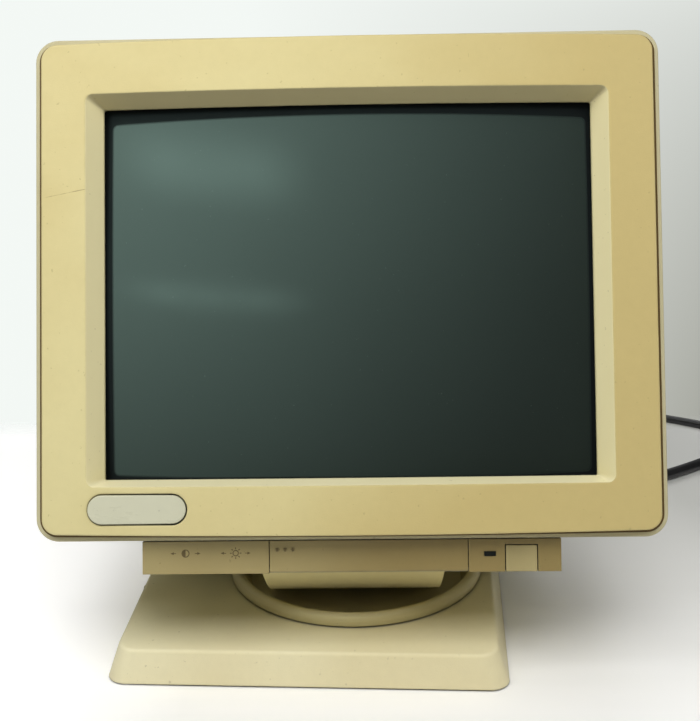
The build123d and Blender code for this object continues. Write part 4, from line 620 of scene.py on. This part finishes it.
def dress_in_plastic():
    """Each beige, grey or white plastic and the CAD nodes that it is on."""
    # the bezel: painted shade towards the right, and the opening's slopes in paler plastic with painted
    # light
    bezel = moulded(
        "bezel_plastic", BEIGE, BEIGE_AGED, edge=1.6, roughness=0.45, grain=1.0,
        marks=FRONT_MARKS, shade_to_right=0.9, slopes=SLOPE_BEIGE_LIT,
    )
    shell = moulded("shell_plastic", SHELL_BEIGE, SHELL_AGED, edge=1.2, roughness=0.52, grain=1.6)
    base = moulded("base_plastic", BASE_BEIGE, BASE_AGED, edge=1.0, roughness=0.5, grain=1.4)
    dish = moulded("ring_plastic", RING_BEIGE, RING_AGED, edge=1.0, roughness=0.45, grain=1.2)
    foot = moulded("foot_plastic", FOOT_BEIGE, FOOT_AGED, edge=0.8, roughness=0.45, grain=1.0)
    # the control strip and door: colours darkened to paint the shade under the bezel, with more painted
    # shade towards the right
    controls = moulded(
        "control_plastic_shaded", CONTROL_BEIGE_SHADED, CONTROL_AGED_SHADED, edge=0.6, roughness=0.45, grain=0.7, shade_to_right=1.0,
    )
    button = moulded("button_plastic", BUTTON_BEIGE, BUTTON_AGED, edge=0.9, roughness=0.45, grain=0.7)
    badge = moulded("badge_plastic", BADGE_BEIGE, BADGE_AGED, edge=0.8, roughness=0.3, grain=0.2)
    knobs = moulded("knob_plastic", KNOB_GREY, KNOB_AGED, edge=0.3, roughness=0.4, grain=0.5)
    nylon = moulded("nylon", NYLON_WHITE, NYLON_AGED, edge=0.4, roughness=0.35, grain=0.3)
    dress(bezel, "front_bezel")
    dress(shell, "rear_cover")
    dress(base, "base_shell")
    dress(dish, "turntable")
    dress(foot, "saddle_foot")
    dress(controls, "control_strip", "control_door")
    dress(button, "power_button")
    dress(badge, "badge_plate")
    dress(knobs, "contrast_wheel", "brightness_wheel", *[f"trim_knob_{i}" for i in range(1, 5)])
    dress(nylon, "swivel_bushing", "glide_ring", "clamp_shoe", "tube_socket", "convergence_rings")
    dress(nylon, "rating_plate")


def dress_in_black():
    """Each black plastic and the CAD nodes that it is on."""
    black = black_moulding("black_plastic", BLACK_ABS, roughness=0.42)
    core = black_moulding("varnished_core", BLACK_VARNISH, roughness=0.3)
    lens = black_moulding("indicator_lens", BLACK_LENS, roughness=0.4, specular=0.1)
    dress(black, "degaussing_coil", "potentiometers", "power_switch", "capacitors", "mains_inlet")
    dress(black, "mains_connector", "mains_plug", "signal_relief", "signal_plug")
    dress(core, "mains_transformer", "line_output_transformer")
    dress(lens, "indicator_window", "indicator_lamp")


def dress_in_metal():
    """Each metal and the CAD nodes that it is on."""
    steel = metal("zinc_steel", ZINC, roughness=0.36)
    dress(steel, "swivel_washer", "swivel_screw", "clamp_spring", "clamp_screw", "saddle_screws")
    dress(steel, "cover_screws", "clip_nuts", "tube_screws", "plug_screws", "chassis", "stand_offs")
    dress(metal("band_steel", BAND_STEEL, roughness=0.5), "implosion_band")
    dress(metal("aluminium", ALUMINIUM, roughness=0.32), "heat_sinks")


def dress_the_rest():
    """The tube, its yoke, the boards and the feet, each with a material of its own."""
    dress(screen_glass(), "tube_faceplate")
    dress(funnel_coat(), "tube_funnel")
    dress(copper_winding(), "deflection_yoke")
    dress(circuit_board(), "control_board", "neck_board", "main_board")
    dress(rubber(), "base_feet")


def new_piece(name, data, material):
    """A new object for this mesh or curve."""
    data.materials.append(material)
    made = bpy.data.objects.new(name, data)
    bpy.context.scene.collection.objects.link(made)
    return made


# ================================================================ marks on the front (head's frame, mm)
CHIN_FACE = 10.0                             # the control strip's face
DOOR_FACE = 9.5                              # the raised dots on the door reach this far forward
RIM_FACE = 5.0                               # front of the cover's rim round the bezel plate
INK_LIFT = 0.06
ICON_Z = -153.5
CONTRAST_X = -95.5
CONTRAST_RADIUS = 2.3
CONTRAST_FILL = 1.85
BRIGHTNESS_X = -66.5
BRIGHTNESS_RADIUS = 1.8
ICON_LINE = 0.5
RAY_COUNT = 8
RAY_NEAR = 2.3
RAY_FAR = 3.3
ARROW_REACH = 7.2                            # from the middle of a symbol to its arrows
ARROW_TIP = 1.5
ARROW_BACK = -0.4
ARROW_HALF_W = 0.75
ARROW_TAIL = -1.7
ARROW_TAIL_HALF_W = 0.18
DOT_X = (-42.5, -38.0, -33.5)
DOT_Z = -151.7
DOT_RADIUS = 0.95
DOT_NARROWER = 0.85
PLATE_HALF_W = 176.25                        # the bezel plate, its corners and its bowed edges
PLATE_HALF_H = 141.25
PLATE_CORNER = 10.0
PLATE_TOP_BOW = 0.8
PLATE_BOTTOM_BOW = 1.2
PLATE_EDGE_STEPS = 12
PLATE_CORNER_STEPS = 8
SEAM_OUTSIDE = (2.2, 1.6)                    # the painted shadow line round the plate: beyond the plate's sides, and above and below it
SEAM_INSIDE = (1.3, 0.4)


def arc(x, z, radius, start=0.0, end=360.0, steps=28):
    """Points of an arc, its angles in degrees from +x."""
    for i in range(steps + 1):
        angle = math.radians(start + (end - start) * i / steps)
        yield (x + radius * math.cos(angle), z + radius * math.sin(angle))


def band(outer, inner):
    """Four-sided faces between two rows of points."""
    outer, inner = list(outer), list(inner)
    for a, b, c, d in zip(outer, outer[1:], inner[1:], inner):
        yield [a, b, c, d]


def ring(x, z, radius):
    """A drawn circle, one line wide."""
    return list(band(arc(x, z, radius), arc(x, z, radius - ICON_LINE)))


def arrow(x, z, way):
    """A small arrowhead with a short tail, pointing to one side."""
    tip, back, tail = (x + way * reach for reach in (ARROW_TIP, ARROW_BACK, ARROW_TAIL))
    yield [(tip, z), (back, z + ARROW_HALF_W), (back, z - ARROW_HALF_W)]
    upper, lower = z + ARROW_TAIL_HALF_W, z - ARROW_TAIL_HALF_W
    yield [(back, upper), (tail, upper), (tail, lower), (back, lower)]


def sun_ray(x, z, angle):
    """A short bar that points away from (x, z)."""
    along = Vector((math.cos(angle), math.sin(angle)))
    across = Vector((-along.y, along.x)) * ICON_LINE / 2
    corners = ((RAY_NEAR, -across), (RAY_FAR, -across), (RAY_FAR, across), (RAY_NEAR, across))
    return [tuple(Vector((x, z)) + along * reach + side) for reach, side in corners]


def arrows(x):
    """The two arrows beside a symbol."""
    for way in (-1, 1):
        yield from arrow(x + way * ARROW_REACH, ICON_Z, way)


def front_sheet(name, faces, depth, body, material):
    """A thin mark on the front of the object, from outlines of (x, z) points in the head's frame."""
    spots = list(dict.fromkeys(spot for outline in faces for spot in outline))
    number = {spot: i for i, spot in enumerate(spots)}
    vertices = [head_point(x, depth - INK_LIFT, z) * MM for x, z in spots]
    mesh = bpy.data.meshes.new(name)
    mesh.from_pydata(vertices, [], [[number[spot] for spot in outline] for outline in faces])
    made = new_piece(name, mesh, material)
    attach(made, body)


def build_marks():
    """Contrast and brightness symbols, and the door's dots."""
    ink = ink_and_shadow_mark("ink", INK)
    half_disc = list(arc(CONTRAST_X, ICON_Z, CONTRAST_FILL, start=90, end=270, steps=14))
    contrast = ring(CONTRAST_X, ICON_Z, CONTRAST_RADIUS) + [half_disc, *arrows(CONTRAST_X)]
    front_sheet("contrast_mark", contrast, CHIN_FACE, "head", ink)
    turns = [2 * math.pi * i / RAY_COUNT for i in range(RAY_COUNT)]
    rays = [sun_ray(BRIGHTNESS_X, ICON_Z, turn) for turn in turns]
    brightness = ring(BRIGHTNESS_X, ICON_Z, BRIGHTNESS_RADIUS) + rays + list(arrows(BRIGHTNESS_X))
    front_sheet("brightness_mark", brightness, CHIN_FACE, "head", ink)
    dots = []
    for x in DOT_X:
        rim = list(arc(x, DOT_Z, DOT_RADIUS, steps=20))[:-1]
        dots.append([(x + DOT_NARROWER * (rim_x - x), z) for rim_x, z in rim])
    front_sheet("door_dots", dots, DOOR_FACE, "control_door", ink)


def plate_outline(beside, above):
    """Points round the bezel plate, this far beyond its sides and its upper and lower edges."""
    width, height = PLATE_HALF_W + beside, PLATE_HALF_H + above
    x, z = width - PLATE_CORNER, height - PLATE_CORNER
    points = []
    for way, first in ((1, 0), (-1, 180)):
        points += arc(way * x, way * z, PLATE_CORNER, first, first + 90, PLATE_CORNER_STEPS)
        for i in range(1, PLATE_EDGE_STEPS):
            points.append((way * x * (1 - 2 * i / PLATE_EDGE_STEPS), way * height))
        points += arc(-way * x, way * z, PLATE_CORNER, first + 90, first + 180, PLATE_CORNER_STEPS)
    points.append(points[0])
    for px, pz in points:
        bow = PLATE_TOP_BOW if pz > 0 else -PLATE_BOTTOM_BOW
        yield (px, pz + bow * (1 - (px / width) ** 2))


def build_seam_shadow():
    """A painted shadow line along the seam between the bezel plate and the rim of the cover."""
    seam_shade_ink = ink_and_shadow_mark("seam_shadow", SEAM_SHADOW_BROWN)
    line = list(band(plate_outline(*SEAM_OUTSIDE), plate_outline(*SEAM_INSIDE)))
    front_sheet("bezel_seam_shadow", line, RIM_FACE, "head", seam_shade_ink)


# ================================================================ cords (mm, but lengths in metres)
EXIT_Z = -48.0                               # height of both exits, in the head's frame
LEAD = 35.0                                  # how far each cord runs straight out
COIL_MIDDLE_SHARE = 0.75                     # share of a turn that keeps its radius and height
TAIL_LENGTH = 34.0
TAIL_STEPS = (0.35, 0.7, 1.0)
TAIL_DROP = 1.5                              # how soon the tail sinks to the floor
TURN_POINTS = 16
FLOOR_GAP = 0.1
TIE_D = 1.4
TIE_BITE = TIE_D / 4                         # how far it presses into the outer turns
TIE_CORNER = 0.12                            # share of its sides that each corner rounds off
COIL_LAYERS = 2
SMOOTH_ORDER = 3

# exit: where it leaves the head, in the head's frame
# route: x, y and height of the cord above its rest on the floor, in the row frame
# turns: radius of each turn of the coil, the lower layer first
# way: 1 winds anticlockwise as seen from above, -1 clockwise
# tie_angle: where the tie goes round the coil, in radians
MAINS = {
    "name": "mains_lead",
    "diameter": 7.0,
    "length": 1.85,
    "exit": (-55.0, 442.5, EXIT_Z),          # end of the connector's boot
    "route": (
        (-51.0, 388.0, 13.0),
        (-37.0, 415.0, 4.0),
        (-13.0, 437.0, 0.0),
        (22.0, 451.0, 0.0),
        (62.0, 458.0, 0.0),
        (108.0, 456.0, 0.0),
        (152.0, 441.0, 0.0),
        (190.0, 412.0, 0.0),
        (224.0, 376.0, 0.0),
        (258.0, 343.4, 0.0),
        (297.0, 321.9, 0.0),
        (324.0, 303.0, 0.0),
        (346.0, 286.0, 0.0),
    ),
    "coil": (373.8, 322.0),
    "turns": (45.5, 38.5, 31.5, 31.5, 38.5, 45.5),
    "way": 1,
    "pieces": ("mains_connector", "mains_plug"),
    "cad": ("mains_cord", "mains_cord_coil", "mains_tail"),
    "tie": "mains_tie",
    "tie_angle": 5.0,
}
SIGNAL = {
    "name": "signal_lead",
    "diameter": 9.0,
    "length": 1.6,
    "exit": (60.0, 421.0, EXIT_Z),           # end of the strain relief
    "route": (
        (65.0, 374.0, 16.4),
        (80.0, 405.0, 4.4),
        (105.0, 428.0, 0.0),
        (138.0, 432.0, 0.0),
        (167.0, 415.0, 0.0),
        (180.0, 383.0, 0.0),
        (173.0, 336.0, 0.0),
        (162.0, 282.0, 0.0),
        (161.3, 228.8, 0.0),
        (178.8, 199.7, 0.0),
        (209.0, 184.1, 0.0),
        (242.9, 186.5, 0.0),
        (290.0, 220.3, 0.0),
        (322.8, 246.6, 0.0),
    ),
    "coil": (355.3, 206.0),
    "turns": (52.0, 43.0, 43.0, 52.0),
    "way": -1,
    "pieces": ("signal_relief", "signal_plug", "plug_screws"),
    "cad": ("signal_cable", "signal_cable_coil", "signal_tail"),
    "tie": "signal_tie",
    "tie_angle": 2.2,
}


def coil_points(centre, entry, turns, way, low, diameter):
    """Put-away turns: each a circle that shifts to the next one's radius and height at its end."""
    start = math.atan2(entry[1] - centre[1], entry[0] - centre[0])
    last = (-way * start) % (2 * math.pi) / (2 * math.pi)     # the last turn ends where the tail starts
    steps = round(TURN_POINTS * (len(turns) - 1 + last))
    layers = [COIL_LAYERS * i // len(turns) for i in range(len(turns))]
    for i in range(1, steps + 1):
        turn = i * (len(turns) - 1 + last) / steps
        here = min(int(turn), len(turns) - 1)
        after = min(here + 1, len(turns) - 1)
        share = max(0.0, (turn - here - COIL_MIDDLE_SHARE) / (1 - COIL_MIDDLE_SHARE))
        share = share * share * (3 - 2 * share)
        radius = turns[here] + (turns[after] - turns[here]) * share
        height = low + diameter * (layers[here] + (layers[after] - layers[here]) * share)
        angle = start + way * 2 * math.pi * turn
        yield (centre[0] + radius * math.cos(angle), centre[1] + radius * math.sin(angle), height)


def tail_points(cord, low, high):
    """The cord's last stretch, from the coil straight to its plug on the floor."""
    x = cord["coil"][0] + cord["turns"][-1]
    for share in TAIL_STEPS:
        height = low + (high - low) * (1 - share) ** TAIL_DROP
        yield (x, cord["coil"][1] + cord["way"] * share * TAIL_LENGTH, height)


def smooth_curve(name, points, diameter, roundness):
    """Curve data for a round section along a smooth line."""
    data = bpy.data.curves.new(name, "CURVE")
    data.dimensions = "3D"
    data.bevel_depth = diameter * MM / 2
    data.bevel_resolution = roundness
    spline = data.splines.new("NURBS")
    spline.points.add(len(points) - 1)
    for point, place in zip(spline.points, points):
        point.co = (*[MM * number for number in place], 1.0)
    spline.order_u = SMOOTH_ORDER
    return data


def build_cord(cord, jacket):
    """One free cord from its exit to its plug: route, coil and tail."""
    diameter = cord["diameter"]
    low = diameter / 2 + FLOOR_GAP
    x, depth, z = cord["exit"]
    start = head_point(x, depth, z)
    points = [tuple(start), tuple(head_point(x, depth + LEAD, z))]
    points += [(x, y, height + low) for x, y, height in cord["route"]]
    points += coil_points(cord["coil"], points[-1], cord["turns"], cord["way"], low, diameter)
    points += list(tail_points(cord, low, points[-1][2]))
    data = smooth_curve(cord["name"], points, diameter, roundness=6)
    data.splines[0].use_endpoint_u = True
    made = new_piece(cord["name"], data, jacket)
    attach(made, "head")
    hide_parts(*cord["cad"])


def build_tie(cord, wire):
    """A thin tie closed round the put-away turns, where both layers are full."""
    inner = min(cord["turns"]) - cord["diameter"] / 2 - TIE_D
    outer = max(cord["turns"]) + cord["diameter"] / 2 - TIE_BITE
    low, high = TIE_D / 2, COIL_LAYERS * cord["diameter"] + TIE_D / 2
    section = [Vector(corner) for corner in ((inner, low), (inner, high), (outer, high), (outer, low))]
    points = []
    for here, after in zip(section, section[1:] + section[:1]):
        for radius, height in (here.lerp(after, TIE_CORNER), here.lerp(after, 1 - TIE_CORNER)):
            x = cord["coil"][0] + radius * math.cos(cord["tie_angle"])
            y = cord["coil"][1] + radius * math.sin(cord["tie_angle"])
            points.append((x, y, height))
    data = smooth_curve(cord["tie"], points, TIE_D, roundness=3)
    data.splines[0].use_cyclic_u = True
    made = new_piece(cord["tie"], data, wire)
    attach(made, "head")


def build_cords():
    """Both cords and the tie round each one's coil."""
    jacket = cord_jacket()
    for cord in (MAINS, SIGNAL):
        build_cord(cord, jacket)
    wire = black_moulding("tie_wire", TIE_BLACK, roughness=0.35)
    for cord in (MAINS, SIGNAL):
        build_tie(cord, wire)


# ================================================================ camera, as fitted to the photograph
CAMERA_PLACE = (19.1, -780.3, 415.3)          # mm
CAMERA_YAW = 1.51                             # degrees, towards the left
CAMERA_PITCH = 17.55                          # degrees, downwards
CAMERA_ROLL = 1.17                            # degrees, the picture's right side up
FOCAL_PIXELS = 1268.5
FRAME_LONG_SIDE = 721                         # the picture is 700 by 721
SENSOR = 36.0
VIEW_DEPTH = 50.0


def camera_turn():
    """The camera's rotation from its yaw, pitch and roll."""
    yaw, pitch, roll = (math.radians(angle) for angle in (CAMERA_YAW, CAMERA_PITCH, CAMERA_ROLL))
    level = Vector((-math.sin(yaw), math.cos(yaw), 0.0))
    forward = math.cos(pitch) * level - math.sin(pitch) * UP
    right = Vector((math.cos(yaw), math.sin(yaw), 0.0))
    up = right.cross(forward)
    turned_right = math.cos(roll) * right - math.sin(roll) * up
    turned_up = math.sin(roll) * right + math.cos(roll) * up
    return Matrix((turned_right, turned_up, -forward)).transposed().to_4x4()


def build_camera():
    """The view of the photograph."""
    data = bpy.data.cameras.new("camera")
    data.sensor_width = SENSOR
    data.lens = FOCAL_PIXELS * SENSOR / FRAME_LONG_SIDE
    data.clip_end = VIEW_DEPTH
    camera = bpy.data.objects.new("camera", data)
    bpy.context.scene.collection.objects.link(camera)
    camera.matrix_world = Matrix.Translation(MM * Vector(CAMERA_PLACE)) @ camera_turn()
    bpy.context.scene.camera = camera


# ================================================================ lights
WHITE = (1.0, 1.0, 1.0)
WARM = (1.0, 0.995, 0.97)
LIGHT_AIM = Vector((0, -0.05, 0.2))
LIGHTS = (                                   # name, place, size (m), power (W), colour, seen in the glass
    ("key", (0.0, -0.9, 1.4), (1.2, 0.8), 15.0, WARM, False),
    ("front", (0.0, -2.2, 2.8), (1.0, 1.0), 12.0, WHITE, False),
    ("near_left", (-0.6, -0.3, 1.0), (0.5, 0.4), 3.0, WARM, True),
    ("near_right", (0.9, -0.6, 0.9), (0.6, 0.6), 2.5, WHITE, True),
    ("back", (0.1, 1.2, 1.3), (1.2, 1.0), 9.0, WHITE, True),
)


def build_light(name, place, size, power, colour, in_glass):
    """One soft rectangular light that aims at the object."""
    data = bpy.data.lights.new(name, "AREA")
    data.shape = "RECTANGLE"
    data.size, data.size_y = size
    data.energy = power
    data.color = colour
    light = bpy.data.objects.new(name, data)
    light.location = place
    light.rotation_euler = (LIGHT_AIM - Vector(place)).to_track_quat("-Z", "Y").to_euler()
    light.visible_glossy = in_glass
    bpy.context.scene.collection.objects.link(light)


def build_lights():
    """All the lights."""
    for light in LIGHTS:
        build_light(*light)


# ================================================================ surroundings
AMBIENT = 0.075                              # light from all round
WINDOW_SIDE = Vector((-0.45, -0.6, 0.66))    # towards the bright side of the room, as shiny surfaces see it
ROOM_DARK = 0.05
ROOM_BRIGHT = 3.5
ROOM_TURN = 0.5                              # cosine from the bright side where the room is dark
ROOM_FALL = 2.5
PANE_X = (-0.33, -0.11)                      # left and right end of both window patches, by direction
PANE_X_SOFT = 0.05
PANES = (                                    # lower end, upper end, softness and brightness of each
    (0.55, 0.61, 0.03, 1.4),
    (0.407, 0.425, 0.014, 1.9),
)

# the wall behind, as only the camera sees it: paler at the left, shaded at the right and lower down
WALL_PALE = (0.90, 0.94, 0.91)
WALL_SHADED = (0.46, 0.47, 0.43)
WALL_STRENGTH = 1.0
LEAST_ONWARD = 0.02
SHADE_RIGHT = (-0.1, 0.27)                   # from left to right, where the shade comes in
SHADE_RIGHT_END = (0.7, 0.35)                # and far to the right, where it goes again
SHADE_POWER = 0.4
SHADE_GAIN = 1.73
SHADE_MOST = 1.2
SHADE_STEEP_END = (0.7, 0.42)                # no shade where the camera looks steeply down


def soft_pane(g, low_z, high_z, soft, glow):
    """A window patch in the surroundings, bright between its four soft edges."""
    axes = g.axes()
    edges = []
    for value, (low, high), fade in ((axes["Z"], (low_z, high_z), soft), (axes["X"], PANE_X, PANE_X_SOFT)):
        edges.append(g.ramp(value, low - fade, low + fade, kind="SMOOTHSTEP"))
        edges.append(g.ramp(value, high + fade, high - fade, kind="SMOOTHSTEP"))
    return g.times(glow, *edges)


def mirrored_room(g):
    """What shiny surfaces see: a room brighter at the upper left, with two window patches."""
    turned = g.ramp(g.dot(g.place, WINDOW_SIDE.normalized()), ROOM_TURN, 1.0)
    room = g.between(g.math("POWER", turned, ROOM_FALL), ROOM_DARK, ROOM_BRIGHT)
    for pane in PANES:
        room = g.math("ADD", room, soft_pane(g, *pane))
    return room


def wall_shade(g):
    """How much of the wall's shade lies in each direction."""
    axes = g.axes()
    onward = g.math("MAXIMUM", axes["Y"], LEAST_ONWARD)
    aside = g.math("DIVIDE", axes["X"], onward)
    slope = g.math("MAXIMUM", g.math("DIVIDE", axes["Z"], g.times(onward, -1.0)), 0.0)
    depth = g.math("MINIMUM", g.times(g.math("POWER", slope, SHADE_POWER), SHADE_GAIN), SHADE_MOST)
    right = g.times(g.ramp(aside, *SHADE_RIGHT), g.ramp(aside, *SHADE_RIGHT_END))
    return g.times(right, depth, g.ramp(slope, *SHADE_STEEP_END))


def build_world():
    """Plain dim light all round, a pale wall to the camera and a room in reflections."""
    world = bpy.data.worlds.new("world")
    bpy.context.scene.world = world
    world.use_nodes = True
    g = Tree(world.node_tree, "Generated")
    ray = g.node("ShaderNodeLightPath").outputs
    background = g.tree.nodes["Background"].inputs
    shade = g.times(wall_shade(g), ray["Is Camera Ray"])
    g.join(g.mix(shade, WALL_PALE, WALL_SHADED, clamp=False), background["Color"])
    strength = g.between(ray["Is Glossy Ray"], AMBIENT, mirrored_room(g))
    g.join(g.between(ray["Is Camera Ray"], strength, WALL_STRENGTH), background["Strength"])


# ================================================================ table (m)
TABLE_HALF = 8.0
TABLE_WHITE = (0.93, 0.93, 0.925)
TABLE_PALER = (0.96, 0.96, 0.96)
TABLE_SHADED = (0.66, 0.665, 0.645)
TABLE_GRAIN = (0.4, 4.0, 1.0)
TABLE_GLOW = (0.28, 0.28, 0.29, 1.0)
SHADED_X = (0.12, 0.26)                      # the shaded part, to the right and behind
SHADED_Y = (-0.1, 0.15)
GLOWING_X = (-0.2, -0.1)                     # the sunlit part, to the left
BACKDROP_Y = (0.31, 0.35)                    # where the wall takes over behind the object
BACKDROP_ASIDE = (0.16, 0.235)               # but not straight behind it, which the object hides
TABLE_END = (0.6, 0.95)                      # and how far out all round


def table_colours(g, camera_ray):
    """White paper with a faint grain, shaded at the right and sunlit at the left as the camera sees it."""
    axes = g.axes()
    grain = g.clouds(scale=3.0, detail=4.0, span=(0.35, 0.65), stretch=TABLE_GRAIN)
    paper = g.mix(grain, TABLE_WHITE, TABLE_PALER)
    shaded = g.times(g.ramp(axes["X"], *SHADED_X), g.ramp(axes["Y"], *SHADED_Y), camera_ray)
    g.to("Base Color", g.mix(shaded, paper, TABLE_SHADED))
    g.to("Emission Color", TABLE_GLOW)
    g.to("Emission Strength", g.times(g.ramp(axes["X"], *GLOWING_X, 1.0, 0.0), camera_ray))


def beyond_table(g):
    """1 where the plain surroundings take the table's place."""
    axes = g.axes()
    onward = g.math("ADD", axes["Y"], -CAMERA_PLACE[1] * MM)
    aside = g.math("ABSOLUTE", g.math("DIVIDE", axes["X"], onward))
    backdrop = g.times(g.ramp(axes["Y"], *BACKDROP_Y), g.ramp(aside, *BACKDROP_ASIDE))
    far = g.node("ShaderNodeVectorMath", operation="LENGTH")
    g.join(g.place, far.inputs[0])
    return g.math("MAXIMUM", backdrop, g.ramp(far.outputs["Value"], *TABLE_END))


def table_material():
    """A pale table that keeps the object's shadow near it and gives way to the plain wall further off."""
    g = Graph("paper_table", roughness=0.9, specular=0.1)
    camera_ray = g.node("ShaderNodeLightPath").outputs["Is Camera Ray"]
    table_colours(g, camera_ray)
    joined = g.node("ShaderNodeMixShader")
    g.join(g.times(beyond_table(g), camera_ray), joined.inputs["Fac"])
    g.join(g.shader.outputs["BSDF"], joined.inputs[1])
    g.join(g.node("ShaderNodeBsdfTransparent").outputs["BSDF"], joined.inputs[2])
    g.join(joined.outputs["Shader"], g.tree.nodes["Material Output"].inputs["Surface"])
    return g.material


def build_table():
    """The flat surface that the object stands on."""
    half = TABLE_HALF
    corners = [(-half, -half, 0), (half, -half, 0), (half, half, 0), (-half, half, 0)]
    mesh = bpy.data.meshes.new("table")
    mesh.from_pydata(corners, [], [(0, 1, 2, 3)])
    new_piece("table", mesh, table_material())


bpy.context.scene.view_settings.view_transform = "Standard"
dress_in_plastic()
dress_in_black()
dress_in_metal()
dress_the_rest()
build_marks()
build_seam_shadow()
build_cords()
build_table()
build_lights()
build_world()
build_camera()
